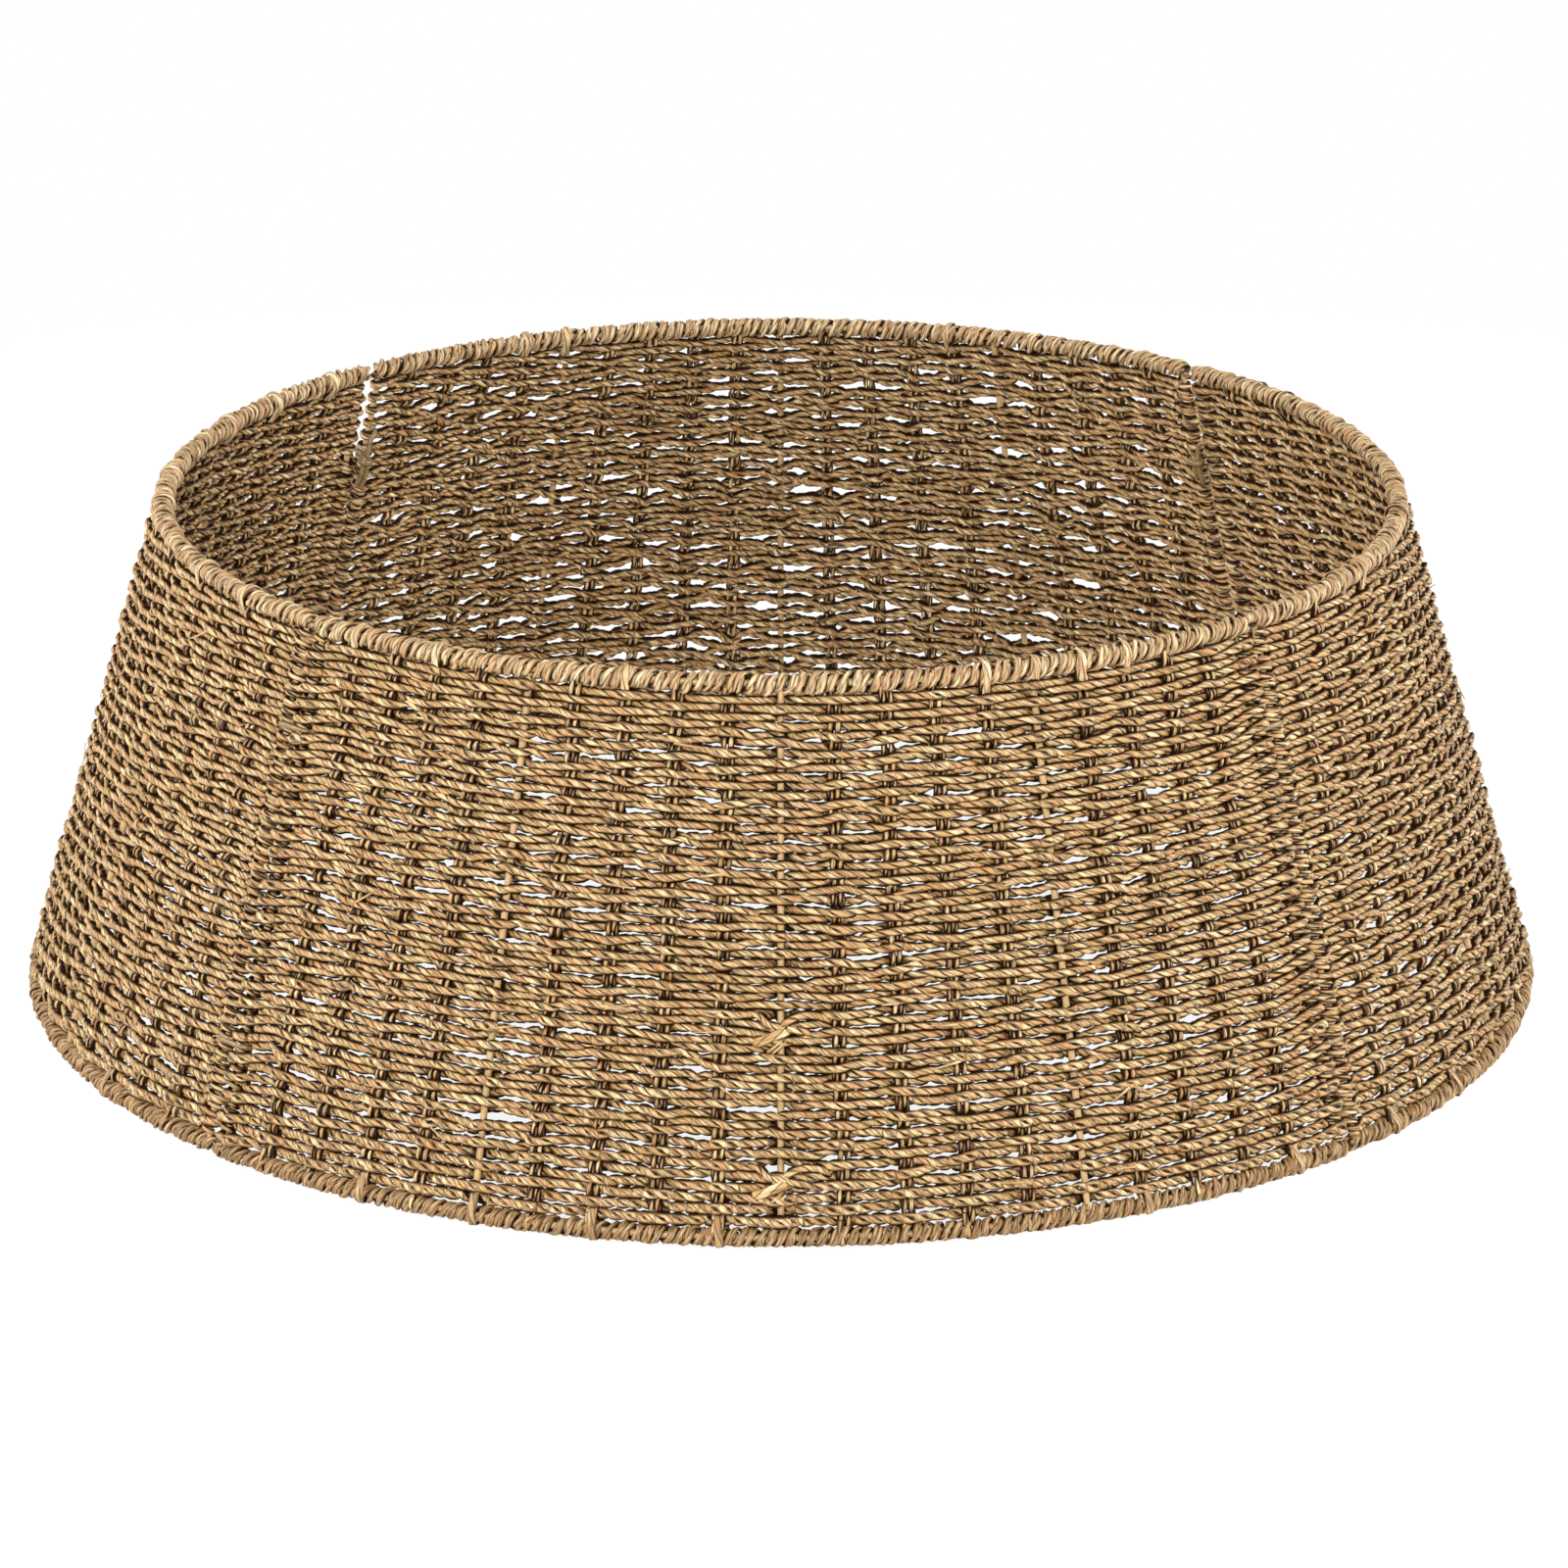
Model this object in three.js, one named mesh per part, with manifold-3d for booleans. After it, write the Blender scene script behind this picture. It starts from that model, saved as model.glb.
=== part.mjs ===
// Tree collar: four woven quarter panels of a truncated cone, lashed together at slanted seams.
// Millimetres, +Z up. The origin is on the floor in the middle of the base, and the front panel faces -Y.

import * as THREE from 'three';
import { mergeVertices } from 'three/addons/utils/BufferGeometryUtils.js';
import Module from 'manifold-3d';

const wasm = await Module();
wasm.setup();

// Overall sizes
const BASE_DIAMETER = 700;
const MOUTH_DIAMETER = 571;
const HEIGHT = 230;

// Wire frame of a panel
const WIRE_DIAMETER = 3;
const WIRE_SIDES = 6;
const RIM_WIRE_STEPS = 12;
const UPRIGHTS = 3;

// Whipped rims: each rib stands for about seven wraps of seagrass
const RIM_DIAMETER = 9;
const RIM_SIDES = 6;
const WRAP_RIBS = 18;
const WRAP_DEPTH = 0.45;
const WRAP_SLANT = 3.5;
const WRAP_FADE = 24;
const RIM_SHOULDER = 2.9;
const RIM_END = 4.3;
const RIM_END_DIAMETER = 6;
const FOOT_DEPTH = 0.5;

// Woven mat: the relief is coarser than the rope that it stands for
const MAT_THICKNESS = 9;
const MAT_TO_RIM = 1.5;
const WEAVE_ROWS = 16;
const WEAVE_COLUMNS = 12;
const WEAVE_RELIEF = 1.4;
const NOSE_STEPS = 4;

// Seams and their ties
const SEAM_GAP = 2;
const TIE_LEVELS = { lower: 46, upper: 186 };
const CORD_DIAMETER = 2.5;
const CORD_SIDES = 5;
const CORD_STEPS = 16;
const LOOP_STOPS = 4;
const OPEN_LOOP = { start: 20, end: -250 };
const KNOT_SIZE = { along: 7, across: 5, up: 5 };
const KNOT_SEGMENTS = { round: 7, up: 5 };
const TAIL_LENGTH = 17;
const TAIL_SPREAD = 2.4;
const TAIL_STEPS = 2;
const NOTCH_HEIGHT = 6;
const NOTCH_DEPTH = 8;

// Gap between pieces that touch on the real collar
const CLEARANCE = 0.3;

// Points closer than this are one point
const SAME_POINT = 1e-4;

// Sizes worked out from the ones above
const PANEL_NAMES = ['front', 'right', 'back', 'left'];
const HALF_PANEL = Math.PI / PANEL_NAMES.length;
const WIRE_RADIUS = WIRE_DIAMETER / 2;
const BORE_RADIUS = WIRE_RADIUS + CLEARANCE;
const RIM_RADIUS = RIM_DIAMETER / 2;
const RIM_APOTHEM = RIM_RADIUS * Math.cos(Math.PI / RIM_SIDES);
const SOCKET_REACH = 2 * RIM_DIAMETER;
const NOSE_RADIUS = MAT_THICKNESS / 2;
const NOTCH_THROUGH = 2 * MAT_THICKNESS;
const POST_OFFSET = NOSE_RADIUS + SEAM_GAP / 2;
const CORD_RADIUS = CORD_DIAMETER / 2;
const LOOP_RADIUS = BORE_RADIUS + CORD_RADIUS;
const KNOT_INSET = NOSE_RADIUS + KNOT_SIZE.across / 2 + CLEARANCE;

// The cone through the middles of the two rims
const BASE_RADIUS = BASE_DIAMETER / 2 - RIM_RADIUS;
const MOUTH_RADIUS = MOUTH_DIAMETER / 2 - RIM_RADIUS;
const BASE_LEVEL = RIM_APOTHEM - FOOT_DEPTH;
const MOUTH_LEVEL = HEIGHT - RIM_APOTHEM;
const SLANT = Math.hypot(BASE_RADIUS - MOUTH_RADIUS, MOUTH_LEVEL - BASE_LEVEL);
const LEAN = Math.atan2(BASE_RADIUS - MOUTH_RADIUS, MOUTH_LEVEL - BASE_LEVEL);

// Materials
const wireFinish = new THREE.MeshStandardMaterial({ color: '#8a6a45', roughness: 0.5, metalness: 0.4 });
const matFinish = new THREE.MeshStandardMaterial({ color: '#b08f5e', roughness: 0.85, metalness: 0 });
const bindingFinish = new THREE.MeshStandardMaterial({ color: '#cdb083', roughness: 0.8, metalness: 0 });
const tieFinish = new THREE.MeshStandardMaterial({ color: '#80603f', roughness: 0.6, metalness: 0 });

// Places on a panel: angle from its middle, distance up the slant from the bottom rim, lift from the cone
const radiusAt = (up) => BASE_RADIUS - up * Math.sin(LEAN);
const levelAt = (up) => BASE_LEVEL + up * Math.cos(LEAN);
const outward = (angle) => new THREE.Vector3(Math.sin(angle), -Math.cos(angle), 0);
const along = (angle) => new THREE.Vector3(Math.cos(angle), Math.sin(angle), 0);
const upslope = (angle) => outward(angle).multiplyScalar(-Math.sin(LEAN)).setZ(Math.cos(LEAN));
const inward = (angle) => outward(angle).multiplyScalar(-Math.cos(LEAN)).setZ(-Math.sin(LEAN));

function onCone(angle, up, lift = 0) {
  const reach = radiusAt(up) + lift * Math.cos(LEAN);
  return outward(angle).multiplyScalar(reach).setZ(levelAt(up) + lift * Math.sin(LEAN));
}

// Half angle that the panel covers at a level, up to a distance past the axis of its end post
function halfSpan(up, past = 0) {
  return HALF_PANEL - Math.atan((POST_OFFSET - past) / radiusAt(up));
}

// A point on the axis of the left (-1) or right (1) end post
function onPost(side, up) {
  return onCone(side * HALF_PANEL, up).addScaledVector(along(side * HALF_PANEL), -side * POST_OFFSET);
}

// A point on the axis of an upright, given as a share of the half panel
function onUpright(share, up) {
  const foot = onCone(share * halfSpan(0), 0);
  const head = onCone(share * halfSpan(SLANT), SLANT);
  return foot.lerp(head, up / SLANT);
}

// Solids to and from the boolean library
function toSolid(geometry) {
  const bare = geometry.clone();
  bare.deleteAttribute('normal');
  bare.deleteAttribute('uv');
  const merged = mergeVertices(bare, SAME_POINT);
  const vertProperties = new Float32Array(merged.attributes.position.array);
  const triVerts = new Uint32Array(merged.index.array);
  return new wasm.Manifold(new wasm.Mesh({ numProp: 3, vertProperties, triVerts }));
}

function toGeometry(solid) {
  const mesh = solid.getMesh();
  const geometry = new THREE.BufferGeometry();
  geometry.setAttribute('position', new THREE.BufferAttribute(new Float32Array(mesh.vertProperties), 3));
  geometry.setIndex(new THREE.BufferAttribute(new Uint32Array(mesh.triVerts), 1));
  return geometry;
}

function cutAway(body, cutters) {
  return cutters.reduce((rest, cutter) => rest.subtract(toSolid(cutter)), toSolid(body));
}

function joinUp([first, ...others]) {
  return others.reduce((sum, piece) => sum.add(toSolid(piece)), toSolid(first));
}

// Closed geometry from rings of equal length, each counter-clockwise seen against its direction of travel
function skinRings(rings, capTriangles) {
  const count = rings[0].length;
  const last = (rings.length - 1) * count;
  const index = [];
  for (let ring = 0; ring < rings.length - 1; ring += 1) {
    for (let point = 0; point < count; point += 1) {
      const here = ring * count + point;
      const next = ring * count + (point + 1) % count;
      index.push(here, next, next + count, here, next + count, here + count);
    }
  }
  for (const [a, b, c] of capTriangles) {
    index.push(c, b, a, last + a, last + b, last + c);
  }
  const geometry = new THREE.BufferGeometry().setFromPoints(rings.flat());
  geometry.setIndex(index);
  return geometry;
}

function polygon(radius, sides) {
  const corner = (step) => {
    const turn = (2 * Math.PI * step) / sides;
    return new THREE.Vector2(radius * Math.cos(turn), radius * Math.sin(turn));
  };
  return Array.from({ length: sides }, (_, step) => corner(step));
}

function tubeAlong(curve, radius, sides, steps) {
  const section = new THREE.Shape(polygon(radius, sides));
  return new THREE.ExtrudeGeometry(section, { steps, extrudePath: curve });
}

// Straight round bar between two points
function bar(start, end, radius) {
  const axis = end.clone().sub(start);
  const geometry = new THREE.CylinderGeometry(radius, radius, axis.length(), WIRE_SIDES);
  const cylinderAxis = new THREE.Vector3(0, 1, 0);
  const turn = new THREE.Quaternion().setFromUnitVectors(cylinderAxis, axis.clone().normalize());
  geometry.applyQuaternion(turn);
  geometry.translate(...start.clone().add(end).multiplyScalar(0.5));
  return geometry;
}

// The arc of a rim, running to a distance past the end posts
class RimArc extends THREE.Curve {
  constructor(up, past) {
    super();
    this.up = up;
    this.half = halfSpan(up, past);
  }

  getPoint(share) {
    return onCone(this.half * (2 * share - 1), this.up);
  }
}

const uprightShares = Array.from({ length: UPRIGHTS }, (_, step) => (2 * (step + 1)) / (UPRIGHTS + 1) - 1);

// Every straight wire of a panel as a function from the distance up the slant to a point on its axis
const straightWires = {
  left_post: (up) => onPost(-1, up),
  right_post: (up) => onPost(1, up),
};
uprightShares.forEach((share, step) => {
  straightWires[`upright_${step + 1}`] = (up) => onUpright(share, up);
});

const rimWire = (up, radius, past) => tubeAlong(new RimArc(up, past), radius, WIRE_SIDES, RIM_WIRE_STEPS);

// A straight wire stands between the two rim wires, to which it is welded
const straightWire = (axis) => bar(axis(BORE_RADIUS), axis(SLANT - BORE_RADIUS), WIRE_RADIUS);

// Whipped sleeve round a rim wire, ribbed by its slanted wraps and rounded at its ends.
// At the bottom rim it is worn flat where the collar stands on the floor.
function bindingSkin(up) {
  const radius = radiusAt(up);
  const shoulder = halfSpan(up, RIM_SHOULDER);
  const end = halfSpan(up, RIM_END);
  const ring = (angle, size, slant) => polygon(size, RIM_SIDES).reverse().map(({ x, y }) => {
    const turned = angle + (slant * y) / (RIM_RADIUS * radius);
    const level = Math.max(0, levelAt(up) + y);
    return outward(turned).multiplyScalar(radius + x).setZ(level);
  });
  const wraps = Array.from({ length: 2 * WRAP_RIBS + 1 }, (_, step) => {
    const angle = shoulder * (step / WRAP_RIBS - 1);
    const toEnd = (shoulder - Math.abs(angle)) * radius;
    const slant = WRAP_SLANT * Math.min(1, toEnd / WRAP_FADE);
    const size = step % 2 === 0 ? RIM_RADIUS - WRAP_DEPTH : RIM_RADIUS;
    return ring(angle, size, slant);
  });
  const rings = [ring(-end, RIM_END_DIAMETER / 2, 0), ...wraps, ring(end, RIM_END_DIAMETER / 2, 0)];
  const fan = Array.from({ length: RIM_SIDES - 2 }, (_, step) => [0, step + 1, step + 2]);
  return skinRings(rings, fan);
}

// The sleeve is bored for the rim wire and for the feet or heads of the straight wires
function binding(up, inside) {
  const bore = rimWire(up, BORE_RADIUS, RIM_SHOULDER + CLEARANCE);
  const sockets = Object.values(straightWires).map((axis) => bar(axis(up), axis(inside), BORE_RADIUS));
  return cutAway(bindingSkin(up), [bore, ...sockets]);
}

// Level loop of the mat: outer face, right nose, inner face, left nose
function matLoop(row) {
  const foot = RIM_RADIUS + MAT_TO_RIM;
  const up = foot + ((SLANT - 2 * foot) * row) / WEAVE_ROWS;
  const half = halfSpan(up);
  const relief = (column) => {
    const edge = row === 0 || row === WEAVE_ROWS || column === 0 || column === WEAVE_COLUMNS;
    return edge ? 0 : WEAVE_RELIEF * (-1) ** (row + column);
  };
  const face = (side) => Array.from({ length: WEAVE_COLUMNS + 1 }, (_, column) => {
    const angle = half * ((2 * column) / WEAVE_COLUMNS - 1);
    return { angle, lift: (side * MAT_THICKNESS) / 2 + relief(column) };
  });
  const nose = (side) => Array.from({ length: NOSE_STEPS - 1 }, (_, step) => {
    const turn = side * (Math.PI / 2 - ((step + 1) * Math.PI) / NOSE_STEPS);
    const past = NOSE_RADIUS * Math.cos(turn);
    return { angle: side * (half + past / radiusAt(up)), lift: NOSE_RADIUS * Math.sin(turn) };
  });
  const outline = [...face(1), ...nose(1), ...face(-1).reverse(), ...nose(-1)];
  return { up, outline };
}

// Triangles across a closed outline, zipped from one tip to the other so that they follow its bend
function zipAcross(count, tip) {
  const triangles = [];
  for (let step = 0; step < count / 2; step += 1) {
    const [ahead, nextAhead] = [step, step + 1].map((steps) => (tip + steps) % count);
    const [behind, nextBehind] = [step, step + 1].map((steps) => (tip - steps + count) % count);
    if (ahead !== behind) triangles.push([ahead, nextAhead, behind]);
    if (nextAhead !== nextBehind) triangles.push([nextAhead, nextBehind, behind]);
  }
  return triangles;
}

function matSkin() {
  const loops = Array.from({ length: WEAVE_ROWS + 1 }, (_, row) => matLoop(row));
  const rings = loops.map(({ up, outline }) => outline.map(({ angle, lift }) => onCone(angle, up, lift)));
  const count = rings[0].length;
  const leftTip = count - 2;
  return skinRings(rings, zipAcross(count, leftTip));
}

// Frame of a seam at a level: X along the rim, Y towards the inside, Z up the slant
function seamFrame(side, up) {
  const angle = side * HALF_PANEL;
  const frame = new THREE.Matrix4().makeBasis(along(angle), inward(angle), upslope(angle));
  return frame.setPosition(onCone(angle, up));
}

// The mat has a channel for each straight wire and a notch for each tie
function wovenMat() {
  const channels = Object.values(straightWires).map((axis) => bar(axis(0), axis(SLANT), BORE_RADIUS));
  const notches = [-1, 1].flatMap((side) => Object.values(TIE_LEVELS).map((up) => {
    const reach = 2 * (POST_OFFSET + NOTCH_DEPTH);
    const notch = new THREE.BoxGeometry(reach, NOTCH_THROUGH, NOTCH_HEIGHT);
    return notch.applyMatrix4(seamFrame(side, up));
  }));
  return cutAway(matSkin(), [...channels, ...notches]);
}

// Part of the cord's loop round a post, in the frame of its seam
function turnRound(postX, startDegrees, endDegrees) {
  return Array.from({ length: LOOP_STOPS + 1 }, (_, step) => {
    const turn = THREE.MathUtils.degToRad(startDegrees + ((endDegrees - startDegrees) * step) / LOOP_STOPS);
    return new THREE.Vector3(postX + LOOP_RADIUS * Math.cos(turn), LOOP_RADIUS * Math.sin(turn), 0);
  });
}

// Tie of one cord: its loop, its knot on the inside of the collar and its two tails
function tie(turns) {
  const cordEnd = (side) => new THREE.Vector3(side * CORD_RADIUS, KNOT_INSET, 0);
  const path = new THREE.CatmullRomCurve3([cordEnd(1), ...turns, cordEnd(-1)]);
  const loop = tubeAlong(path, CORD_RADIUS, CORD_SIDES, CORD_STEPS);
  const knot = new THREE.SphereGeometry(1 / 2, KNOT_SEGMENTS.round, KNOT_SEGMENTS.up);
  knot.scale(KNOT_SIZE.along, KNOT_SIZE.across, KNOT_SIZE.up);
  knot.translate(0, KNOT_INSET, 0);
  const tails = [-1, 1].map((side) => {
    const start = cordEnd(side);
    const middle = new THREE.Vector3(side * TAIL_SPREAD, KNOT_INSET, -TAIL_LENGTH / 2);
    const tip = new THREE.Vector3(side * TAIL_SPREAD, KNOT_INSET, -TAIL_LENGTH);
    const hang = new THREE.QuadraticBezierCurve3(start, middle, tip);
    return tubeAlong(hang, CORD_RADIUS, CORD_SIDES, TAIL_STEPS);
  });
  return toGeometry(joinUp([loop, knot, ...tails]));
}

// A closed seam's tie goes round both posts.
// At the opening seam it holds only the post of the panel that it hangs on.
const lashing = tie([...turnRound(POST_OFFSET, 90, -90), ...turnRound(-POST_OFFSET, 270, 90)]);
const openLashing = tie(turnRound(-POST_OFFSET, OPEN_LOOP.start, OPEN_LOOP.end));

const panelPieces = {
  top_rim_wire: [rimWire(SLANT, WIRE_RADIUS, RIM_SHOULDER), wireFinish],
  bottom_rim_wire: [rimWire(0, WIRE_RADIUS, RIM_SHOULDER), wireFinish],
  woven_mat: [toGeometry(wovenMat()), matFinish],
  top_binding: [toGeometry(binding(SLANT, SLANT - SOCKET_REACH)), bindingFinish],
  bottom_binding: [toGeometry(binding(0, SOCKET_REACH)), bindingFinish],
};
for (const [name, axis] of Object.entries(straightWires)) {
  panelPieces[name] = [straightWire(axis), wireFinish];
}

const collar = new THREE.Group();
collar.name = 'tree_collar';

PANEL_NAMES.forEach((panelName, quarter) => {
  const panel = new THREE.Group();
  panel.rotation.z = 2 * HALF_PANEL * quarter;
  for (const [pieceName, [geometry, finish]] of Object.entries(panelPieces)) {
    const piece = new THREE.Mesh(geometry, finish);
    piece.name = `${panelName}_${pieceName}`;
    panel.add(piece);
  }
  collar.add(panel);
});

// Seams in order from the front right one, counter-clockwise seen from above
const SEAMS = [
  { name: 'front_right', cord: lashing },
  { name: 'back_right', cord: lashing },
  { name: 'back_left', cord: openLashing },
  { name: 'front_left', cord: lashing },
];

SEAMS.forEach(({ name, cord }, quarter) => {
  const seam = new THREE.Group();
  seam.rotation.z = 2 * HALF_PANEL * quarter;
  for (const [level, up] of Object.entries(TIE_LEVELS)) {
    const piece = new THREE.Mesh(cord, tieFinish);
    piece.name = `${name}_${level}_tie`;
    seamFrame(1, up).decompose(piece.position, piece.quaternion, piece.scale);
    seam.add(piece);
  }
  collar.add(seam);
});

export default collar;
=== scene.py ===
"""Looks of a woven seagrass tree collar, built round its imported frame.

Four quarter panels of a truncated cone stand in a ring. Each is woven from two-ply seagrass rope on
uprights of wire and of doubled seagrass, whipped with seagrass at both rims and lashed to the next panel
with cord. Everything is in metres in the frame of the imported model: +Z up, the front panel towards -Y.
"""

import logging
import math
from dataclasses import dataclass, field, replace
from enum import Enum, IntEnum
from functools import partial
from typing import Any

import bpy
import numpy as np
import numpy.typing as npt
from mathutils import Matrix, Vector


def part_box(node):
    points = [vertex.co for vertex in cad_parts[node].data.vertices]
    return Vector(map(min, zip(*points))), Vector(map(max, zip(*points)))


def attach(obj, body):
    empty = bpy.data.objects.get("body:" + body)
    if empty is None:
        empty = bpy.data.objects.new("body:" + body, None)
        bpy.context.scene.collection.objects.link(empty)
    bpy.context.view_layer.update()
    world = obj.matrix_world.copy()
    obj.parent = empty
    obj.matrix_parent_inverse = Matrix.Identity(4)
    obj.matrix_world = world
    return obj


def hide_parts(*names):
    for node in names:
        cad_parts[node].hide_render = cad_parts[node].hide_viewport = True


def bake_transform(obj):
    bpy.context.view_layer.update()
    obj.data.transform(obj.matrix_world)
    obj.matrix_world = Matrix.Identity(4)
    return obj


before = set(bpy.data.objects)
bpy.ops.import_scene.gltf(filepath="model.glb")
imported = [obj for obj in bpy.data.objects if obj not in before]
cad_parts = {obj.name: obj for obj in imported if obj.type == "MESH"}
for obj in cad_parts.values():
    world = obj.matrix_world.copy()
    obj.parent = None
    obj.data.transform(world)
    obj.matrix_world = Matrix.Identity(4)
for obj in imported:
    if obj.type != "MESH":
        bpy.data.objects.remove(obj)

LOG = logging.getLogger("tree_collar")
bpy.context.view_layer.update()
MM = 0.001
FULL_TURN = 2 * math.pi
UPWARD = np.array([0.0, 0.0, 1.0])

Points = npt.NDArray[np.float64]
Numbers = npt.NDArray[np.float64]
Counts = npt.NDArray[np.int64]


def linear(code: str) -> tuple[float, float, float, float]:
    """Turns an sRGB hex colour into linear light.

    Args:
        code: colour written as "#rrggbb".

    Returns:
        Linear red, green, blue and an alpha of 1.
    """
    shares = [int(code[start:start + 2], 16) / 255 for start in (1, 3, 5)]
    red, green, blue = (s / 12.92 if s <= 0.04045 else ((s + 0.055) / 1.055) ** 2.4 for s in shares)
    return red, green, blue, 1.0


def add_node(
    tree: bpy.types.NodeTree, kind: str, inputs: dict[Any, Any] | None = None, **settings: Any
) -> bpy.types.Node:
    """Adds a shader node with its settings, values and links.

    Args:
        tree: node tree that gets the node.
        kind: node type without its "ShaderNode" prefix.
        inputs: value, output socket, or node whose first output is meant, by the input's name or number.
        settings: attributes of the node, such as its blend type.

    Returns:
        The new node.
    """
    node = tree.nodes.new("ShaderNode" + kind)
    for name, value in settings.items():
        setattr(node, name, value)
    for key, value in (inputs or {}).items():
        source = value.outputs[0] if isinstance(value, bpy.types.Node) else value
        if isinstance(source, bpy.types.NodeSocket):
            tree.links.new(source, node.inputs[key])
        else:
            node.inputs[key].default_value = source
    return node


def unit(vectors: Points) -> Points:
    """Scales each vector to length 1."""
    return vectors / np.linalg.norm(vectors, axis=-1, keepdims=True)


def square_to(vectors: Points, ahead: Points) -> Points:
    """Unit vectors of what is left of vectors square to a direction."""
    return unit(vectors - ahead * np.sum(vectors * ahead, axis=-1, keepdims=True))


def lengths_along(points: Points) -> Numbers:
    """Distance from the first point to each point along the path."""
    steps = np.linalg.norm(np.diff(points, axis=0), axis=1)
    return np.concatenate([[0.0], np.cumsum(steps)])


def tangents_along(points: Points) -> Points:
    """Unit direction of travel at each point of a path."""
    return unit(np.gradient(points, axis=0))


def smooth_path(stops: Points, step: float) -> Points:
    """Draws a smooth curve through a few stops.

    Args:
        stops: points that the curve goes through.
        step: distance between the points of the curve.

    Returns:
        Evenly spaced points of the curve.
    """
    fine = 16
    slopes = np.gradient(stops, axis=0)
    share = np.linspace(0, 1, fine, endpoint=False)[:, None]
    rise = share * share * (3 - 2 * share)
    spans = [
        (1 - rise) * stops[i] + rise * stops[i + 1]
        + share * (1 - share) ** 2 * slopes[i] - share ** 2 * (1 - share) * slopes[i + 1]
        for i in range(len(stops) - 1)
    ]
    curve = np.concatenate([*spans, stops[-1:]])
    lengths = lengths_along(curve)
    wanted = np.linspace(0, lengths[-1], max(4, round(lengths[-1] / step) + 1))
    return np.stack([np.interp(wanted, lengths, curve[:, axis]) for axis in range(3)], axis=1)


def between(values: Numbers, spots: Numbers) -> Numbers:
    """Runs smoothly from each value to the next, one unit apart."""
    before = spots.astype(int)
    share = spots - before
    rise = share * share * (3 - 2 * share)
    return values[before] * (1 - rise) + values[before + 1] * rise


def drift(rng: np.random.Generator, places: Numbers, spacing: float) -> Numbers:
    """Slow random wander between about -1 and 1.

    Args:
        rng: seeded source of the wander.
        places: where it is wanted, as lengths.
        spacing: distance over which it changes.

    Returns:
        One value for each place.
    """
    spots = (places - places.min()) / spacing
    return between(rng.uniform(-1, 1, int(spots.max()) + 3), spots)


class Seed(IntEnum):
    """Where the unevenness of each kind of work starts."""

    WEAVE = 100
    UPRIGHTS = 200
    WHIPPING = 300
    LOOSE_ENDS = 400


class Panel(Enum):
    """The four quarter panels, counter-clockwise seen from above."""

    FRONT = 0
    RIGHT = 1
    BACK = 2
    LEFT = 3

    @property
    def body(self) -> str:
        """Name of the panel's CAD body."""
        return self.name.lower()

    def turned(self, points: Points) -> Points:
        """Moves points from the front panel's place to this panel's."""
        angle = self.value * FULL_TURN / len(Panel)
        cos, sin = math.cos(angle), math.sin(angle)
        return points @ np.array([[cos, sin, 0], [-sin, cos, 0], [0, 0, 1]])


class Rim(Enum):
    """The two rims of a panel."""

    TOP = "top"
    BOTTOM = "bottom"


class Side(Enum):
    """The two ends of a panel seen from outside."""

    LEFT = -1
    RIGHT = 1


class Level(Enum):
    """Levels of the ties up a seam."""

    LOWER = "lower"
    UPPER = "upper"


def outward(angle: Numbers | float) -> Points:
    """Level direction away from the collar's axis."""
    angle = np.asarray(angle, float)
    return np.stack([np.sin(angle), -np.cos(angle), np.zeros_like(angle)], axis=-1)


def along(angle: Numbers | float) -> Points:
    """Level direction round the collar."""
    angle = np.asarray(angle, float)
    return np.stack([np.cos(angle), np.sin(angle), np.zeros_like(angle)], axis=-1)


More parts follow.
